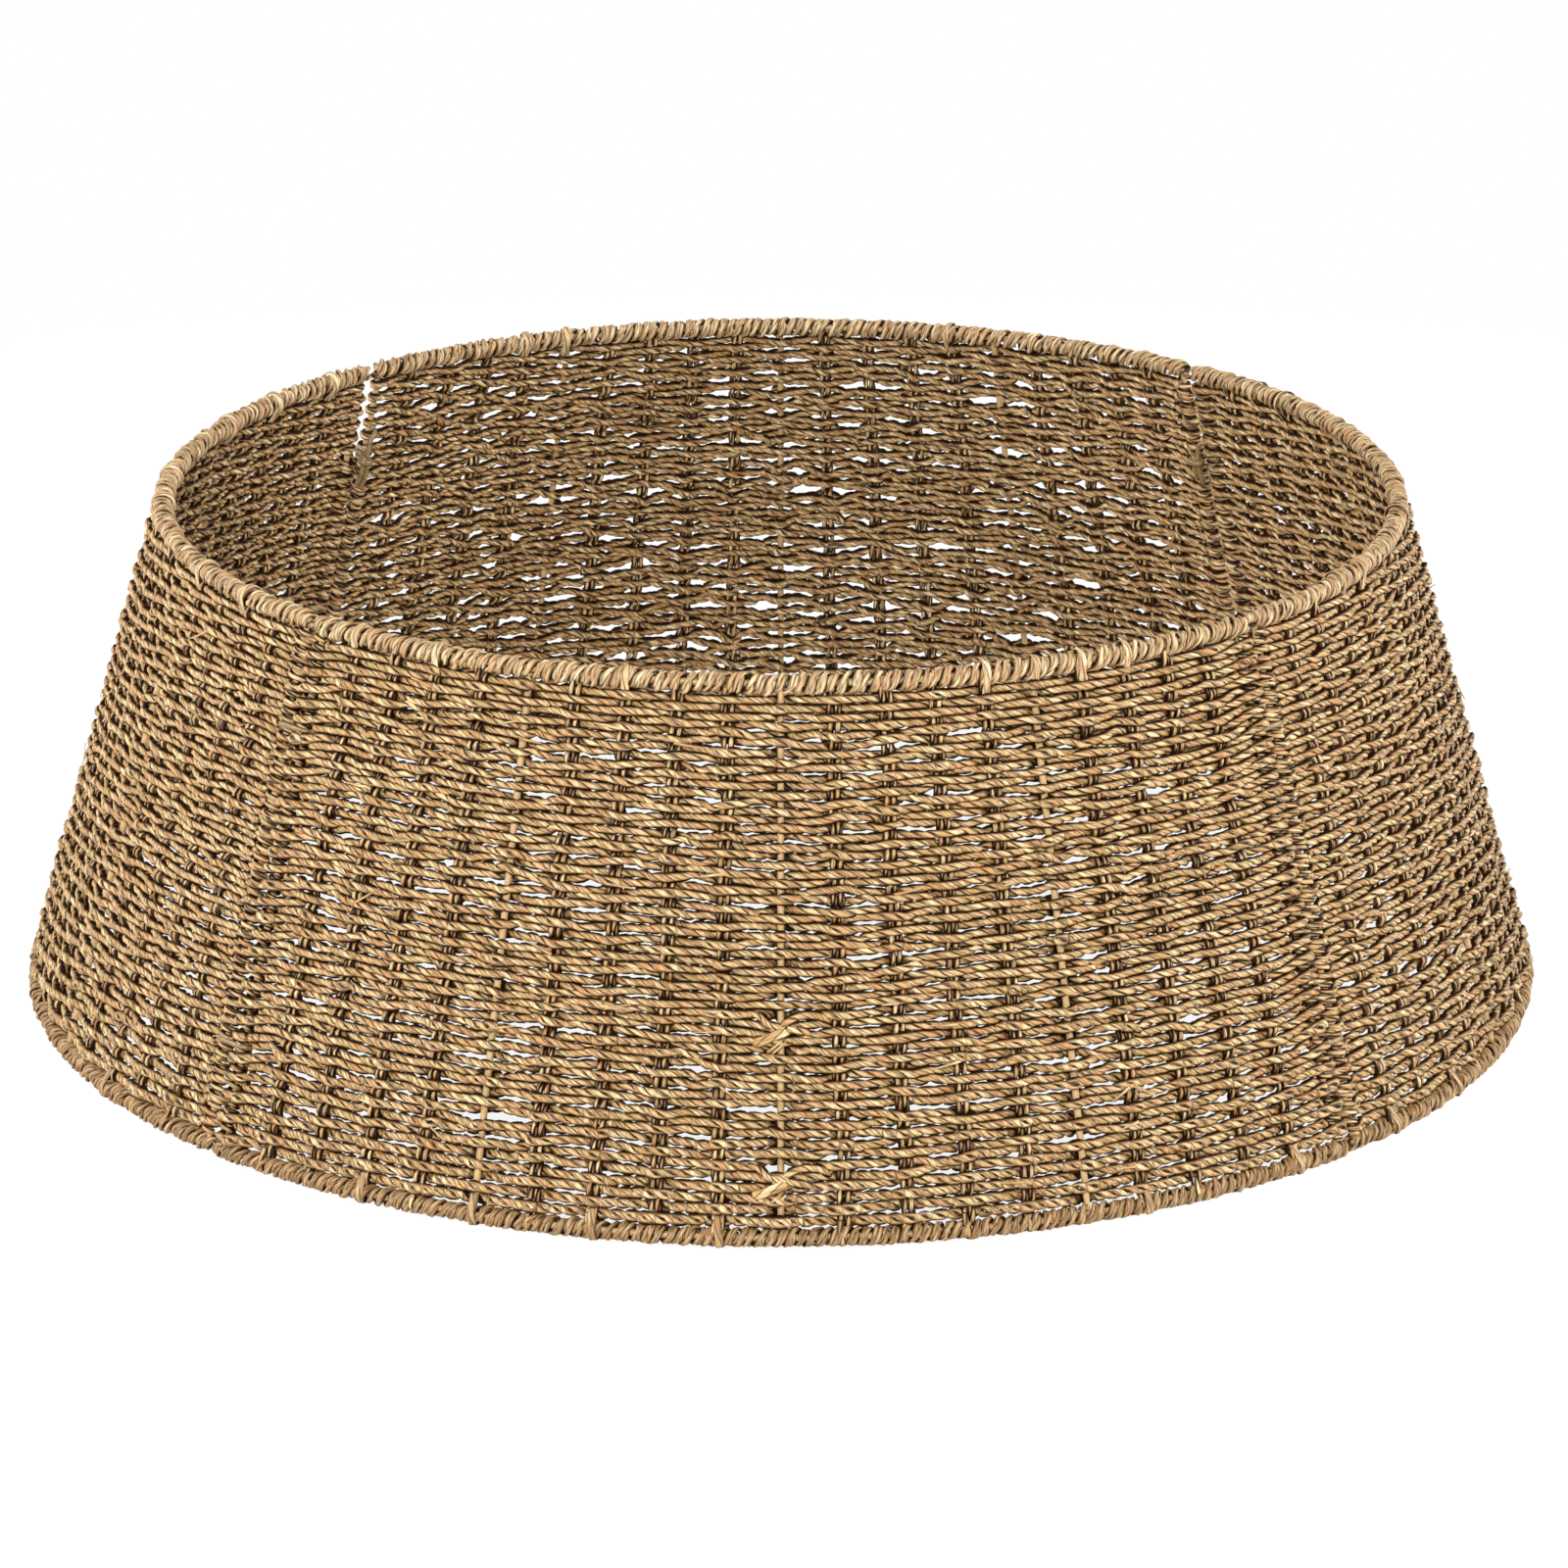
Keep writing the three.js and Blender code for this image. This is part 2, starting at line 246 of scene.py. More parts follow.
@dataclass(frozen=True)
class Cone:
    """The cone through the middles of the two rims, which carries every panel."""

    base_radius: float
    mouth_radius: float
    base_level: float
    mouth_level: float
    post_offset: float

    @classmethod
    def from_frame(cls, wire_radius: float, post_offset: float) -> "Cone":
        """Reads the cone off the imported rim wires.

        Args:
            wire_radius: half the thickness of the rim wires.
            post_offset: distance of the end posts from the seam.

        Returns:
            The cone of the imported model.
        """
        bottom, top = (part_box(f"front_{rim.value}_rim_wire") for rim in (Rim.BOTTOM, Rim.TOP))
        return cls(
            base_radius=-bottom[0].y - wire_radius,
            mouth_radius=-top[0].y - wire_radius,
            base_level=(bottom[0].z + bottom[1].z) / 2,
            mouth_level=(top[0].z + top[1].z) / 2,
            post_offset=post_offset,
        )

    @property
    def slant(self) -> float:
        """Distance from rim to rim along the wall."""
        return math.hypot(self.base_radius - self.mouth_radius, self.mouth_level - self.base_level)

    @property
    def lean(self) -> float:
        """Angle of the wall from upright."""
        return math.atan2(self.base_radius - self.mouth_radius, self.mouth_level - self.base_level)

    def rim_up(self, rim: Rim) -> float:
        """Distance of a rim up the slant."""
        return self.slant if rim is Rim.TOP else 0.0

    def radius_at(self, up: Numbers | float) -> Numbers:
        """Radius of the cone at a distance up its slant."""
        return self.base_radius - np.asarray(up) * math.sin(self.lean)

    def half_span(self, up: Numbers | float, past: float = 0.0) -> Numbers:
        """Half angle of a panel at a level, to a distance past its end posts."""
        return math.pi / len(Panel) - np.arctan((self.post_offset - past) / self.radius_at(up))

    def upslope(self, angle: Numbers | float) -> Points:
        """Direction up the wall."""
        return UPWARD * math.cos(self.lean) - outward(angle) * math.sin(self.lean)

    def off_wall(self, angle: Numbers | float) -> Points:
        """Direction square to the wall, to the outside."""
        return outward(angle) * math.cos(self.lean) + UPWARD * math.sin(self.lean)

    def place(self, angle: Numbers | float, up: Numbers | float, lift: Numbers | float = 0.0) -> Points:
        """Point of the wall in the front panel.

        Args:
            angle: angle from the panel's middle.
            up: distance up the slant from the bottom rim's middle.
            lift: distance off the cone to the outside.

        Returns:
            The points, one row each.
        """
        angle, up, lift = np.broadcast_arrays(np.asarray(angle, float), up, lift)
        level = self.base_level + up * math.cos(self.lean)
        on_cone = outward(angle) * self.radius_at(up)[..., None] + UPWARD * level[..., None]
        return on_cone + self.off_wall(angle) * lift[..., None]

    def faces_at(self, points: Points) -> Points:
        """Direction square to the wall at each of some points near it."""
        return self.off_wall(np.arctan2(points[:, 0], -points[:, 1]))

    def lift_of(self, points: Points) -> Numbers:
        """Distance of points off the cone to the outside."""
        beyond = np.hypot(points[:, 0], points[:, 1]) - self.base_radius
        return beyond * math.cos(self.lean) + (points[:, 2] - self.base_level) * math.sin(self.lean)

    def on_post(self, side: Side, up: Numbers | float) -> Points:
        """Point on the axis of an end post of the front panel."""
        edge = side.value * math.pi / len(Panel)
        return self.place(edge, up) - along(edge) * side.value * self.post_offset


@dataclass(frozen=True)
class Section:
    """Outline of a strand: an oval with blades of grass twisted round it, and lumps where they fold."""

    sides: int
    blades: int = 1
    blade_depth: float = 0.0
    blade_run: float = 8 * MM
    lump_depth: float = 0.0
    lump_run: float = 5.3 * MM
    lump_twist: float = 1.7

    def outline(self, turn: Numbers, run: Numbers) -> Numbers:
        """Size of the oval at each corner of each ring.

        Args:
            turn: angle of each corner.
            run: distance of each ring along the strand.

        Returns:
            One factor for each ring and corner.
        """
        blade = self.blades * turn / FULL_TURN - run[:, None] / self.blade_run
        lump = np.sin(turn + self.lump_twist * FULL_TURN * run[:, None] / self.blade_run)
        lump = lump * np.sin(FULL_TURN * run[:, None] / self.lump_run)
        return 1 + self.blade_depth * np.cos(FULL_TURN * blade) + self.lump_depth * lump


@dataclass(frozen=True)
class Lie:
    """How a rope lies in the wall, ring by ring.

    Across is the direction in which the rope meets its neighbours, over half the rope's height. Face is the
    direction off the wall, and lift the distance of the rope's middle from the wall's middle. The rope's
    skin is open where it faces out at open_depth from the wall's middle, and as hidden as deepest at
    shut_depth. How hidden its skin is sets how much painted shade its finish lays on it.
    """

    rope: Points
    across: Points
    face: Points
    lift: Numbers
    open_depth: float
    shut_depth: float
    deepest: float

    def cut(self, kept: slice) -> "Lie":
        """The lie of a stretch of the rope."""
        parts = (values[kept] for values in (self.rope, self.across, self.face, self.lift))
        return Lie(*parts, self.open_depth, self.shut_depth, self.deepest)

    def tucked(self, rings: Points, middle: Points) -> Numbers:
        """How hidden the points of a strand are, for the painted shade.

        Args:
            rings: points of the strand, ring by ring.
            middle: middle of each ring.

        Returns:
            0 on the open faces of the wall, up to 1 between the rows and behind them.
        """
        off_rope = rings - self.rope[:, None]
        to_rows = np.abs(np.sum(off_rope * self.across[:, None], axis=2))
        facing = np.sum(unit(rings - middle[:, None]) * self.face[:, None], axis=2)
        depth = facing * (self.lift[:, None] + np.sum(off_rope * self.face[:, None], axis=2))
        sunk = (self.open_depth - depth) / (self.open_depth - self.shut_depth)
        return np.maximum(to_rows, self.deepest * np.clip(sunk, 0, 1))


@dataclass(frozen=True)
class Strand:
    """Middle and half section of a strand, ring by ring, and how the rope that it belongs to lies."""

    middle: Points
    broad: Points
    narrow: Points
    lie: Lie | None = None

    @classmethod
    def flat(cls, middle: Points, face: Points, breadth: Numbers | float, thickness: float) -> "Strand":
        """Makes a blade that lies flat on a face.

        Args:
            middle: middle of the blade.
            face: direction off the face at each point.
            breadth: breadth of the blade, or one for each point.
            thickness: thickness of the blade.

        Returns:
            The blade.
        """
        ahead = tangents_along(middle)
        narrow = square_to(np.broadcast_to(face, middle.shape), ahead)
        half_breadth = np.broadcast_to(np.asarray(breadth) / 2, len(middle))[:, None]
        return cls(middle, np.cross(ahead, narrow) * half_breadth, narrow * thickness / 2)

    def cut(self, first: int, last: int) -> "Strand":
        """The stretch of a rope's strand between two rings."""
        kept = slice(first, last + 1)
        lie = self.lie.cut(kept) if self.lie else None
        return Strand(self.middle[kept], self.broad[kept], self.narrow[kept], lie)

    def tucked(self, rings: Points) -> Numbers:
        """How hidden each point of the strand is, from 0 to 1."""
        return self.lie.tucked(rings, self.middle) if self.lie else np.zeros(rings.shape[:2])


@dataclass
class StrandMesh:
    """Strands swept along paths and gathered into one mesh.

    Each strand has two sets of surface coordinates: "Strand", its length in metres and the share of its
    girth, which the grass's blades and patches of colour follow, and "OFBake", the same skin cut in strips
    and laid side by side on a square. "tucked" says how hidden each point is between the rows and behind
    them, and the seagrass finishes paint shade by it.
    """

    first_run: float = 0.0
    strand_gap: float = 7.3
    strip_length: float = 0.5
    strip_margin: float = 0.08
    points: list[Points] = field(default_factory=list)
    tucked: list[Numbers] = field(default_factory=list)
    corners: list[Counts] = field(default_factory=list)
    corner_counts: list[Counts] = field(default_factory=list)
    strand_uv: list[Points] = field(default_factory=list)
    strip_uv: list[Points] = field(default_factory=list)
    total_points: int = 0
    total_strips: int = 0

    def sweep(self, strand: Strand, section: Section) -> None:
        """Adds a closed strand with the given section."""
        run = lengths_along(strand.middle)
        start = self.first_run + self.strand_gap * len(self.points)
        turn = np.arange(section.sides) * FULL_TURN / section.sides
        size = section.outline(turn, run + start)[:, :, None]
        oval = strand.broad[:, None] * np.cos(turn)[:, None] + strand.narrow[:, None] * np.sin(turn)[:, None]
        rings = strand.middle[:, None] + size * oval
        self.join_rings(len(run), section.sides)
        self.unroll(run, start, section.sides)
        self.tucked.append(strand.tucked(rings).ravel())
        self.points.append(rings.reshape(-1, 3))
        self.total_points += len(run) * section.sides

    def join_rings(self, count: int, sides: int) -> None:
        """Lays faces between the rings of a strand and closes its ends."""
        ring, side = np.indices((count - 1, sides)).reshape(2, -1)
        after = (side + 1) % sides
        quads = np.stack([ring * sides + side, ring * sides + after,
                          (ring + 1) * sides + after, (ring + 1) * sides + side], axis=1)
        ends = np.stack([np.arange(sides)[::-1], (count - 1) * sides + np.arange(sides)])
        self.corners += [(faces + self.total_points).ravel() for faces in (quads, ends)]
        self.corner_counts += [np.full(len(quads), 4), np.full(len(ends), sides)]

    def unroll(self, run: Numbers, start: float, sides: int) -> None:
        """Lays out both sets of surface coordinates of a strand.

        Args:
            run: distance of each ring along the strand.
            start: length given to the strand before its first ring.
            sides: corners of a ring.
        """
        ring, side = np.indices((len(run) - 1, sides)).reshape(2, -1)
        near, far = run[ring], run[ring + 1]
        low, high = side / sides, (side + 1) / sides
        skin = np.stack([np.stack([near, near, far, far], 1), np.stack([low, high, high, low], 1)], axis=2)
        strip = np.floor(near / self.strip_length)
        flat = skin - np.stack([strip * self.strip_length, 0 * strip], 1)[:, None]
        flat[:, :, 0] /= self.strip_length + 2 * run[-1] / len(run)
        flat[:, :, 1] = self.strip_margin + (1 - 2 * self.strip_margin) * flat[:, :, 1]
        flat[:, :, 1] += (strip + self.total_strips)[:, None]
        ends = np.zeros((2, sides, 2))
        ends[:, :, 0] = start + run[[0, -1], None]
        flat_ends = np.full((2, sides, 2), [0.0, self.total_strips + 0.5])
        self.strand_uv += [(skin + [start, 0]).reshape(-1, 2), ends.reshape(-1, 2)]
        self.strip_uv += [flat.reshape(-1, 2), flat_ends.reshape(-1, 2)]
        self.total_strips += int(strip.max()) + 1

    def build(
        self, name: str, material: bpy.types.Material, panel: Panel, floor: float | None = None
    ) -> bpy.types.Object:
        """Makes the mesh object.

        Args:
            name: name of the piece.
            material: its finish.
            panel: panel whose place it takes.
            floor: level that presses the strands flat, if any.

        Returns:
            The object, linked to the scene.
        """
        points = panel.turned(np.concatenate(self.points))
        if floor is not None:
            points[:, 2] = np.maximum(points[:, 2], floor)
        corners, counts = np.concatenate(self.corners), np.concatenate(self.corner_counts)
        mesh = bpy.data.meshes.new(name)
        mesh.vertices.add(len(points))
        mesh.vertices.foreach_set("co", points.astype(np.float32).ravel())
        mesh.loops.add(len(corners))
        mesh.loops.foreach_set("vertex_index", corners.astype(np.int32))
        mesh.polygons.add(len(counts))
        mesh.polygons.foreach_set("loop_start", (np.cumsum(counts) - counts).astype(np.int32))
        mesh.update(calc_edges=True)
        mesh.polygons.foreach_set("use_smooth", np.ones(len(counts), bool))
        strips = np.concatenate(self.strip_uv) / [1, self.total_strips]
        for layer, values in (("Strand", np.concatenate(self.strand_uv)), ("OFBake", strips)):
            uv = mesh.uv_layers.new(name=layer)
            uv.data.foreach_set("uv", values.astype(np.float32).ravel())
        tucked = mesh.attributes.new("tucked", "FLOAT", "POINT")
        tucked.data.foreach_set("value", np.concatenate(self.tucked).astype(np.float32))
        mesh.validate()
        mesh.materials.append(material)
        piece = bpy.data.objects.new(name, mesh)
        bpy.context.scene.collection.objects.link(piece)
        return piece


@dataclass(frozen=True)
class Bend:
    """How a piece bends across a seam: from its own body at the start to the neighbour at the end."""

    neighbour: str
    start: Points
    end: Points


def hand_over(piece: bpy.types.Object, body: str, node: str, bend: Bend | None = None) -> None:
    """Gives a finished piece its body, or only bakes in its place if it bends to a neighbour, and hides the
    CAD node that it stands for.

    Args:
        piece: the finished piece.
        body: body that the piece moves with.
        node: CAD node that the piece stands for.
        bend: the bend to a neighbouring body, if the piece has one; only whether there is one is used.
    """
    if bend:
        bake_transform(piece)
    else:
        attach(piece, body)
    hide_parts(node)
    LOG.info("%s: %d faces on %s", piece.name, len(piece.data.polygons), body)


@dataclass(frozen=True)
class Fade:
    """Where a pattern starts to show a colour, where it shows it most, and how fully it then covers."""

    start: float
    full: float
    share: float


@dataclass(frozen=True)
class Grain:
    """A noise along a strand: its length, its spacing across, and where it starts.

    It changes from blade to blade, or else smoothly round the strand.
    """

    length_mm: float
    apart: float
    seed: float
    by_blade: bool = True
    detail: float = 2.0
    roughness: float = 0.55


@dataclass(frozen=True)
class SeagrassFinish:
    """Dried seagrass blades, twisted by hand.

    Dull straw, with tan, olive and russet blades where new ones were laid in. Each strand shows its blades
    side by side with finer veins along them and a slight wax gloss on their backs. The dark lines between the
    blades, the darker side of each ply that faces the other, the brown flanks and the dark depths where the
    strands press together are painted shade, and the gloss is dimmed there too. A blade's veins are drawn
    about twice as coarse as they grow, to show.
    """

    name: str
    section: Section
    straw: str
    tan: str
    olive: str
    russet: str
    # The next three colours are painted shade: brown on half-hidden flanks, near-black in the lines between
    # blades, which also draws the grass's own veins, and near-black in the grooves between plies and in the
    # depths between and behind the rows.
    flank_shade: str = "#825b2d"
    line: str = "#1f0c03"
    depth: str = "#190801"
    tan_grain: Grain = Grain(15.0, 3.7, 3.1)
    olive_grain: Grain = Grain(24.0, 5.3, 17.7)
    russet_grain: Grain = Grain(18.0, 4.1, 41.3)
    vein_grain: Grain = Grain(14.0, 22.0, 23.1, by_blade=False)
    tan_fade: Fade = Fade(0.36, 0.62, 1.0)
    olive_fade: Fade = Fade(0.52, 0.66, 0.6)
    russet_fade: Fade = Fade(0.54, 0.68, 0.6)
    vein_fade: Fade = Fade(0.52, 0.34, 0.62)
    blade_edge_shade_fade: Fade = Fade(0.35, 0.48, 0.85)
    flank_shade_fade: Fade = Fade(0.15, 0.6, 0.55)
    groove_shade_fade: Fade = Fade(0.0, -0.5, 0.88)
    depth_fade: Fade = Fade(0.42, 0.72, 0.98)
    vein_depth_mm: float = 0.22
    vein_strength: float = 0.9
    gloss_roughness: float = 0.4
    dull_roughness: float = 0.58
    gloss_veins: tuple[float, float] = (0.35, 0.65)
    open_specular: float = 0.5
    depth_specular: float = 0.04
    dulled_depths: tuple[float, float] = (0.4, 0.75)
    ior: float = 1.48

    def material(self) -> bpy.types.Material:
        """Makes the node material."""
        made = bpy.data.materials.new(self.name)
        made.use_nodes = True
        node = partial(add_node, made.node_tree)
        skin = node("SeparateXYZ", {0: node("UVMap", uv_map="Strand")})
        run, girth = skin.outputs["X"], skin.outputs["Y"]
        twist = node("Math", {0: run, 1: -1 / self.section.blade_run, 2: 0.5}, operation="MULTIPLY_ADD")
        blade_place = node("Math", {0: girth, 1: self.section.blades, 2: twist}, operation="MULTIPLY_ADD")
        blade = node("Math", {0: blade_place}, operation="FLOOR")
        on_blade = node("Math", {0: blade_place}, operation="FRACT")
        from_middle = node("Math", {0: on_blade, 1: 0.5}, operation="SUBTRACT")
        off_middle = node("Math", {0: from_middle}, operation="ABSOLUTE")
        around = node("Math", {0: girth, 1: FULL_TURN}, operation="MULTIPLY")
        facing = node("Math", {0: around}, operation="SINE")
        # How hidden each point is; the painted shade and the dimmed gloss below follow it.
        tucked = node("Attribute", attribute_name="tucked").outputs["Fac"]
        noises = []
        for grain in (self.tan_grain, self.olive_grain, self.russet_grain, self.vein_grain):
            place = node("CombineXYZ", {0: run, 1: blade if grain.by_blade else girth})
            place = node("Mapping", {"Vector": place, "Location": (grain.seed, grain.seed, 0.0),
                                     "Scale": (1 / (grain.length_mm * MM), grain.apart, 1.0)})
            noises.append(node("TexNoise", {"Vector": place, "Scale": 1.0, "Detail": grain.detail,
                                            "Roughness": grain.roughness}, noise_dimensions="2D"))
        tans, olives, russets, veins = noises
        colour: Any = linear(self.straw)
        # After the grass's own tones and veins, the last four layers are painted shade: dark lines at the
        # blade edges, brown on half-hidden flanks, dark on the side of each ply facing the other, dark in the
        # depths.
        for pattern, fade, code in (
            (tans, self.tan_fade, self.tan), (olives, self.olive_fade, self.olive),
            (russets, self.russet_fade, self.russet), (veins, self.vein_fade, self.line),
            (off_middle, self.blade_edge_shade_fade, self.line), (tucked, self.flank_shade_fade, self.flank_shade),
            (facing, self.groove_shade_fade, self.depth), (tucked, self.depth_fade, self.depth),
        ):
            share = node("MapRange", {0: pattern, 1: fade.start, 2: fade.full, 3: 0.0, 4: fade.share})
            colour = node("Mix", {0: share, 6: colour, 7: linear(code)}, data_type="RGBA").outputs[2]
        gloss = node("MapRange", dict(enumerate((veins, *self.gloss_veins, self.dull_roughness,
                                                 self.gloss_roughness))))
        # Gloss is dimmed with the painted shade in the depths.
        specular = node("MapRange", dict(enumerate((tucked, *self.dulled_depths, self.open_specular,
                                                    self.depth_specular))))
        bump = node("Bump", {"Height": veins, "Distance": self.vein_depth_mm * MM,
                             "Strength": self.vein_strength})
        shader = made.node_tree.nodes["Principled BSDF"]
        made.node_tree.links.new(colour, shader.inputs["Base Color"])
        for source, name in ((gloss, "Roughness"), (specular, "Specular IOR Level"), (bump, "Normal")):
            made.node_tree.links.new(source.outputs[0], shader.inputs[name])
        shader.inputs["IOR"].default_value = self.ior
        return made


@dataclass(frozen=True)
class CoatedWireFinish:
    """Drawn steel wire under a tan powder coat.

    Even and slightly pebbled, with a soft gloss and a little brown rubbed through where the rope has moved
    on it.
    """

    name: str = "powder_coated_steel_wire"
    coat: str = "#b39263"
    rubbed: str = "#8a6a45"
    rub_mm: float = 9.0
    rub_fade: Fade = Fade(0.5, 0.72, 0.8)
    rub_detail: float = 3.0
    pebble_mm: float = 0.6
    pebble_depth_mm: float = 0.05
    pebble_detail: float = 1.0
    pebble_strength: float = 0.6
    roughness: float = 0.45

    def material(self) -> bpy.types.Material:
        """Makes the node material."""
        made = bpy.data.materials.new(self.name)
        made.use_nodes = True
        node = partial(add_node, made.node_tree)
        place = node("TexCoord").outputs["Object"]
        rub = node("TexNoise", {"Vector": place, "Scale": 1 / (self.rub_mm * MM), "Detail": self.rub_detail})
        share = node("MapRange", {0: rub, 1: self.rub_fade.start, 2: self.rub_fade.full, 3: 0.0,
                                  4: self.rub_fade.share})
        colour = node("Mix", {0: share, 6: linear(self.coat), 7: linear(self.rubbed)}, data_type="RGBA")
        pebble = node("TexNoise", {"Vector": place, "Scale": 1 / (self.pebble_mm * MM),
                                   "Detail": self.pebble_detail})
        bump = node("Bump", {"Height": pebble, "Distance": self.pebble_depth_mm * MM,
                             "Strength": self.pebble_strength})
        shader = made.node_tree.nodes["Principled BSDF"]
        made.node_tree.links.new(colour.outputs[2], shader.inputs["Base Color"])
        made.node_tree.links.new(bump.outputs[0], shader.inputs["Normal"])
        shader.inputs["Roughness"].default_value = self.roughness
        return made


@dataclass(frozen=True)
class WaxedCordFinish:
    """Round leather cord, dyed brown and waxed.

    Smooth and evenly brown, with a satin gloss, faint cross creases where it bends and a paler rubbed side.
    """

    name: str = "waxed_leather_cord"
    dye: str = "#765f3c"
    rubbed: str = "#8f754e"
    crease: str = "#3f2e18"
    rub_grain: Grain = Grain(6.0, 3.0, 0.0, by_blade=False, detail=3.0, roughness=0.5)
    crease_grain: Grain = Grain(1.1, 2.0, 0.0, by_blade=False, detail=2.0, roughness=0.5)
    rub_fade: Fade = Fade(0.45, 0.7, 0.7)
    crease_fade: Fade = Fade(0.45, 0.3, 0.6)
    crease_depth_mm: float = 0.12
    crease_strength: float = 0.7
    roughness: float = 0.42

    def material(self) -> bpy.types.Material:
        """Makes the node material."""
        made = bpy.data.materials.new(self.name)
        made.use_nodes = True
        node = partial(add_node, made.node_tree)
        skin = node("UVMap", uv_map="Strand")
        colour: Any = linear(self.dye)
        for grain, fade, code in (
            (self.rub_grain, self.rub_fade, self.rubbed), (self.crease_grain, self.crease_fade, self.crease),
        ):
            place = node("Mapping", {"Vector": skin, "Scale": (1 / (grain.length_mm * MM), grain.apart, 1.0)})
            pattern = node("TexNoise", {"Vector": place, "Scale": 1.0, "Detail": grain.detail,
                                        "Roughness": grain.roughness}, noise_dimensions="2D")
            share = node("MapRange", {0: pattern, 1: fade.start, 2: fade.full, 3: 0.0, 4: fade.share})
            colour = node("Mix", {0: share, 6: colour, 7: linear(code)}, data_type="RGBA").outputs[2]
        bump = node("Bump", {"Height": pattern, "Distance": self.crease_depth_mm * MM,
                             "Strength": self.crease_strength})
        shader = made.node_tree.nodes["Principled BSDF"]
        made.node_tree.links.new(colour, shader.inputs["Base Color"])
        made.node_tree.links.new(bump.outputs[0], shader.inputs["Normal"])
        shader.inputs["Roughness"].default_value = self.roughness
        return made


@dataclass(frozen=True)
class Rope:
    """Two-ply rope in a wall, laid right-handed."""

    cone: Cone
    ply_breadth: float
    ply_thickness: float
    lay_radius: float
    lay_pitch: float
    section: Section
    # How deep the rope's skin lies, for its painted shade: open at open_depth, shaded as far as deepest at
    # shut_depth.
    open_depth: float = 1.2 * MM
    shut_depth: float = -1.3 * MM
    deepest: float = 0.84
    unevenness: float = 0.2
    lay_wander: float = 1.4
    wander_length: float = 30 * MM
    swell_length: float = 10 * MM

    def plies(
        self, path: Points, upward: Points, rng: np.random.Generator, pressed: Numbers | float = 0.0
    ) -> list[Strand]:
        """Lays the two plies round the rope's path.

        Args:
            path: middle of the rope.
            upward: a direction at each point that the rope doesn't run in.
            rng: seeded source of its unevenness.
            pressed: share by which the rope is flattened, taller along upward, at each point.

        Returns:
            The two plies.
        """
        ahead = tangents_along(path)
        first = square_to(upward, ahead)
        second = np.cross(ahead, first)
        lengths = lengths_along(path)
        turn = FULL_TURN * lengths / self.lay_pitch + rng.uniform(0, FULL_TURN)
        turn = turn + self.lay_wander * drift(rng, lengths, self.wander_length)
        taller = np.broadcast_to(1 + np.asarray(pressed), len(path))[:, None]
        across = first / (self.lay_radius + self.ply_thickness / 2) / taller
        lie = Lie(path, across, self.cone.faces_at(path), self.cone.lift_of(path), self.open_depth,
                  self.shut_depth, self.deepest)
        laid = []
        for half_turn in (0.0, math.pi):
            away = np.cos(turn + half_turn)[:, None] * first * taller
            away = away + np.sin(turn + half_turn)[:, None] * second / taller
            middle = path + self.lay_radius * away
            run = tangents_along(middle)
            narrow = square_to(away, run)
            swell = 1 + self.unevenness * drift(rng, lengths, self.swell_length)
            swell = swell[:, None] * np.sqrt(taller)
            broad = np.cross(run, narrow) * self.ply_breadth / 2 * swell
            laid.append(Strand(middle, broad, narrow * self.ply_thickness / 2 * swell, lie))
        return laid


class Wander:
    """Slow random wander over a wall, between about -1 and 1."""

    def __init__(
        self, rng: np.random.Generator, length: float, spacing: float, rows: int, rows_apart: int
    ) -> None:
        """Draws the values between which it runs.

        Args:
            rng: seeded source of the wander.
            length: length of the longest row.
            spacing: distance along a row over which it changes.
            rows: number of rows.
            rows_apart: rows over which it changes.
        """
        self.spacing = spacing
        self.rows_apart = rows_apart
        self.values = rng.uniform(-1, 1, (rows // rows_apart + 2, int(length / spacing) + 3))

    def at(self, run: Numbers, row: int) -> Numbers:
        """Wander at distances along one row."""
        bands = np.arange(len(self.values[0]))
        row_values = np.array([
            between(self.values[:, band], np.array([row / self.rows_apart]))[0] for band in bands
        ])
        return between(row_values, run / self.spacing)


@dataclass(frozen=True)
class SeamStep:
    """Step at the two front seams, where the front panel stands a little outside its neighbours.

    Ends says for each panel which way its left and right ends are moved.
    """

    height: float
    fade: float = 16 * MM
    ends: tuple[tuple[int, int], ...] = ((1, 1), (-1, 0), (0, 0), (0, -1))

    def at(self, panel: Panel, to_left: Numbers, to_right: Numbers) -> Numbers:
        """Lift of a panel's rope or rim at distances from its left and right ends."""
        left, right = self.ends[panel.value]
        shares = left * np.exp(-(to_left / self.fade) ** 2) + right * np.exp(-(to_right / self.fade) ** 2)
        return self.height / 2 * shares


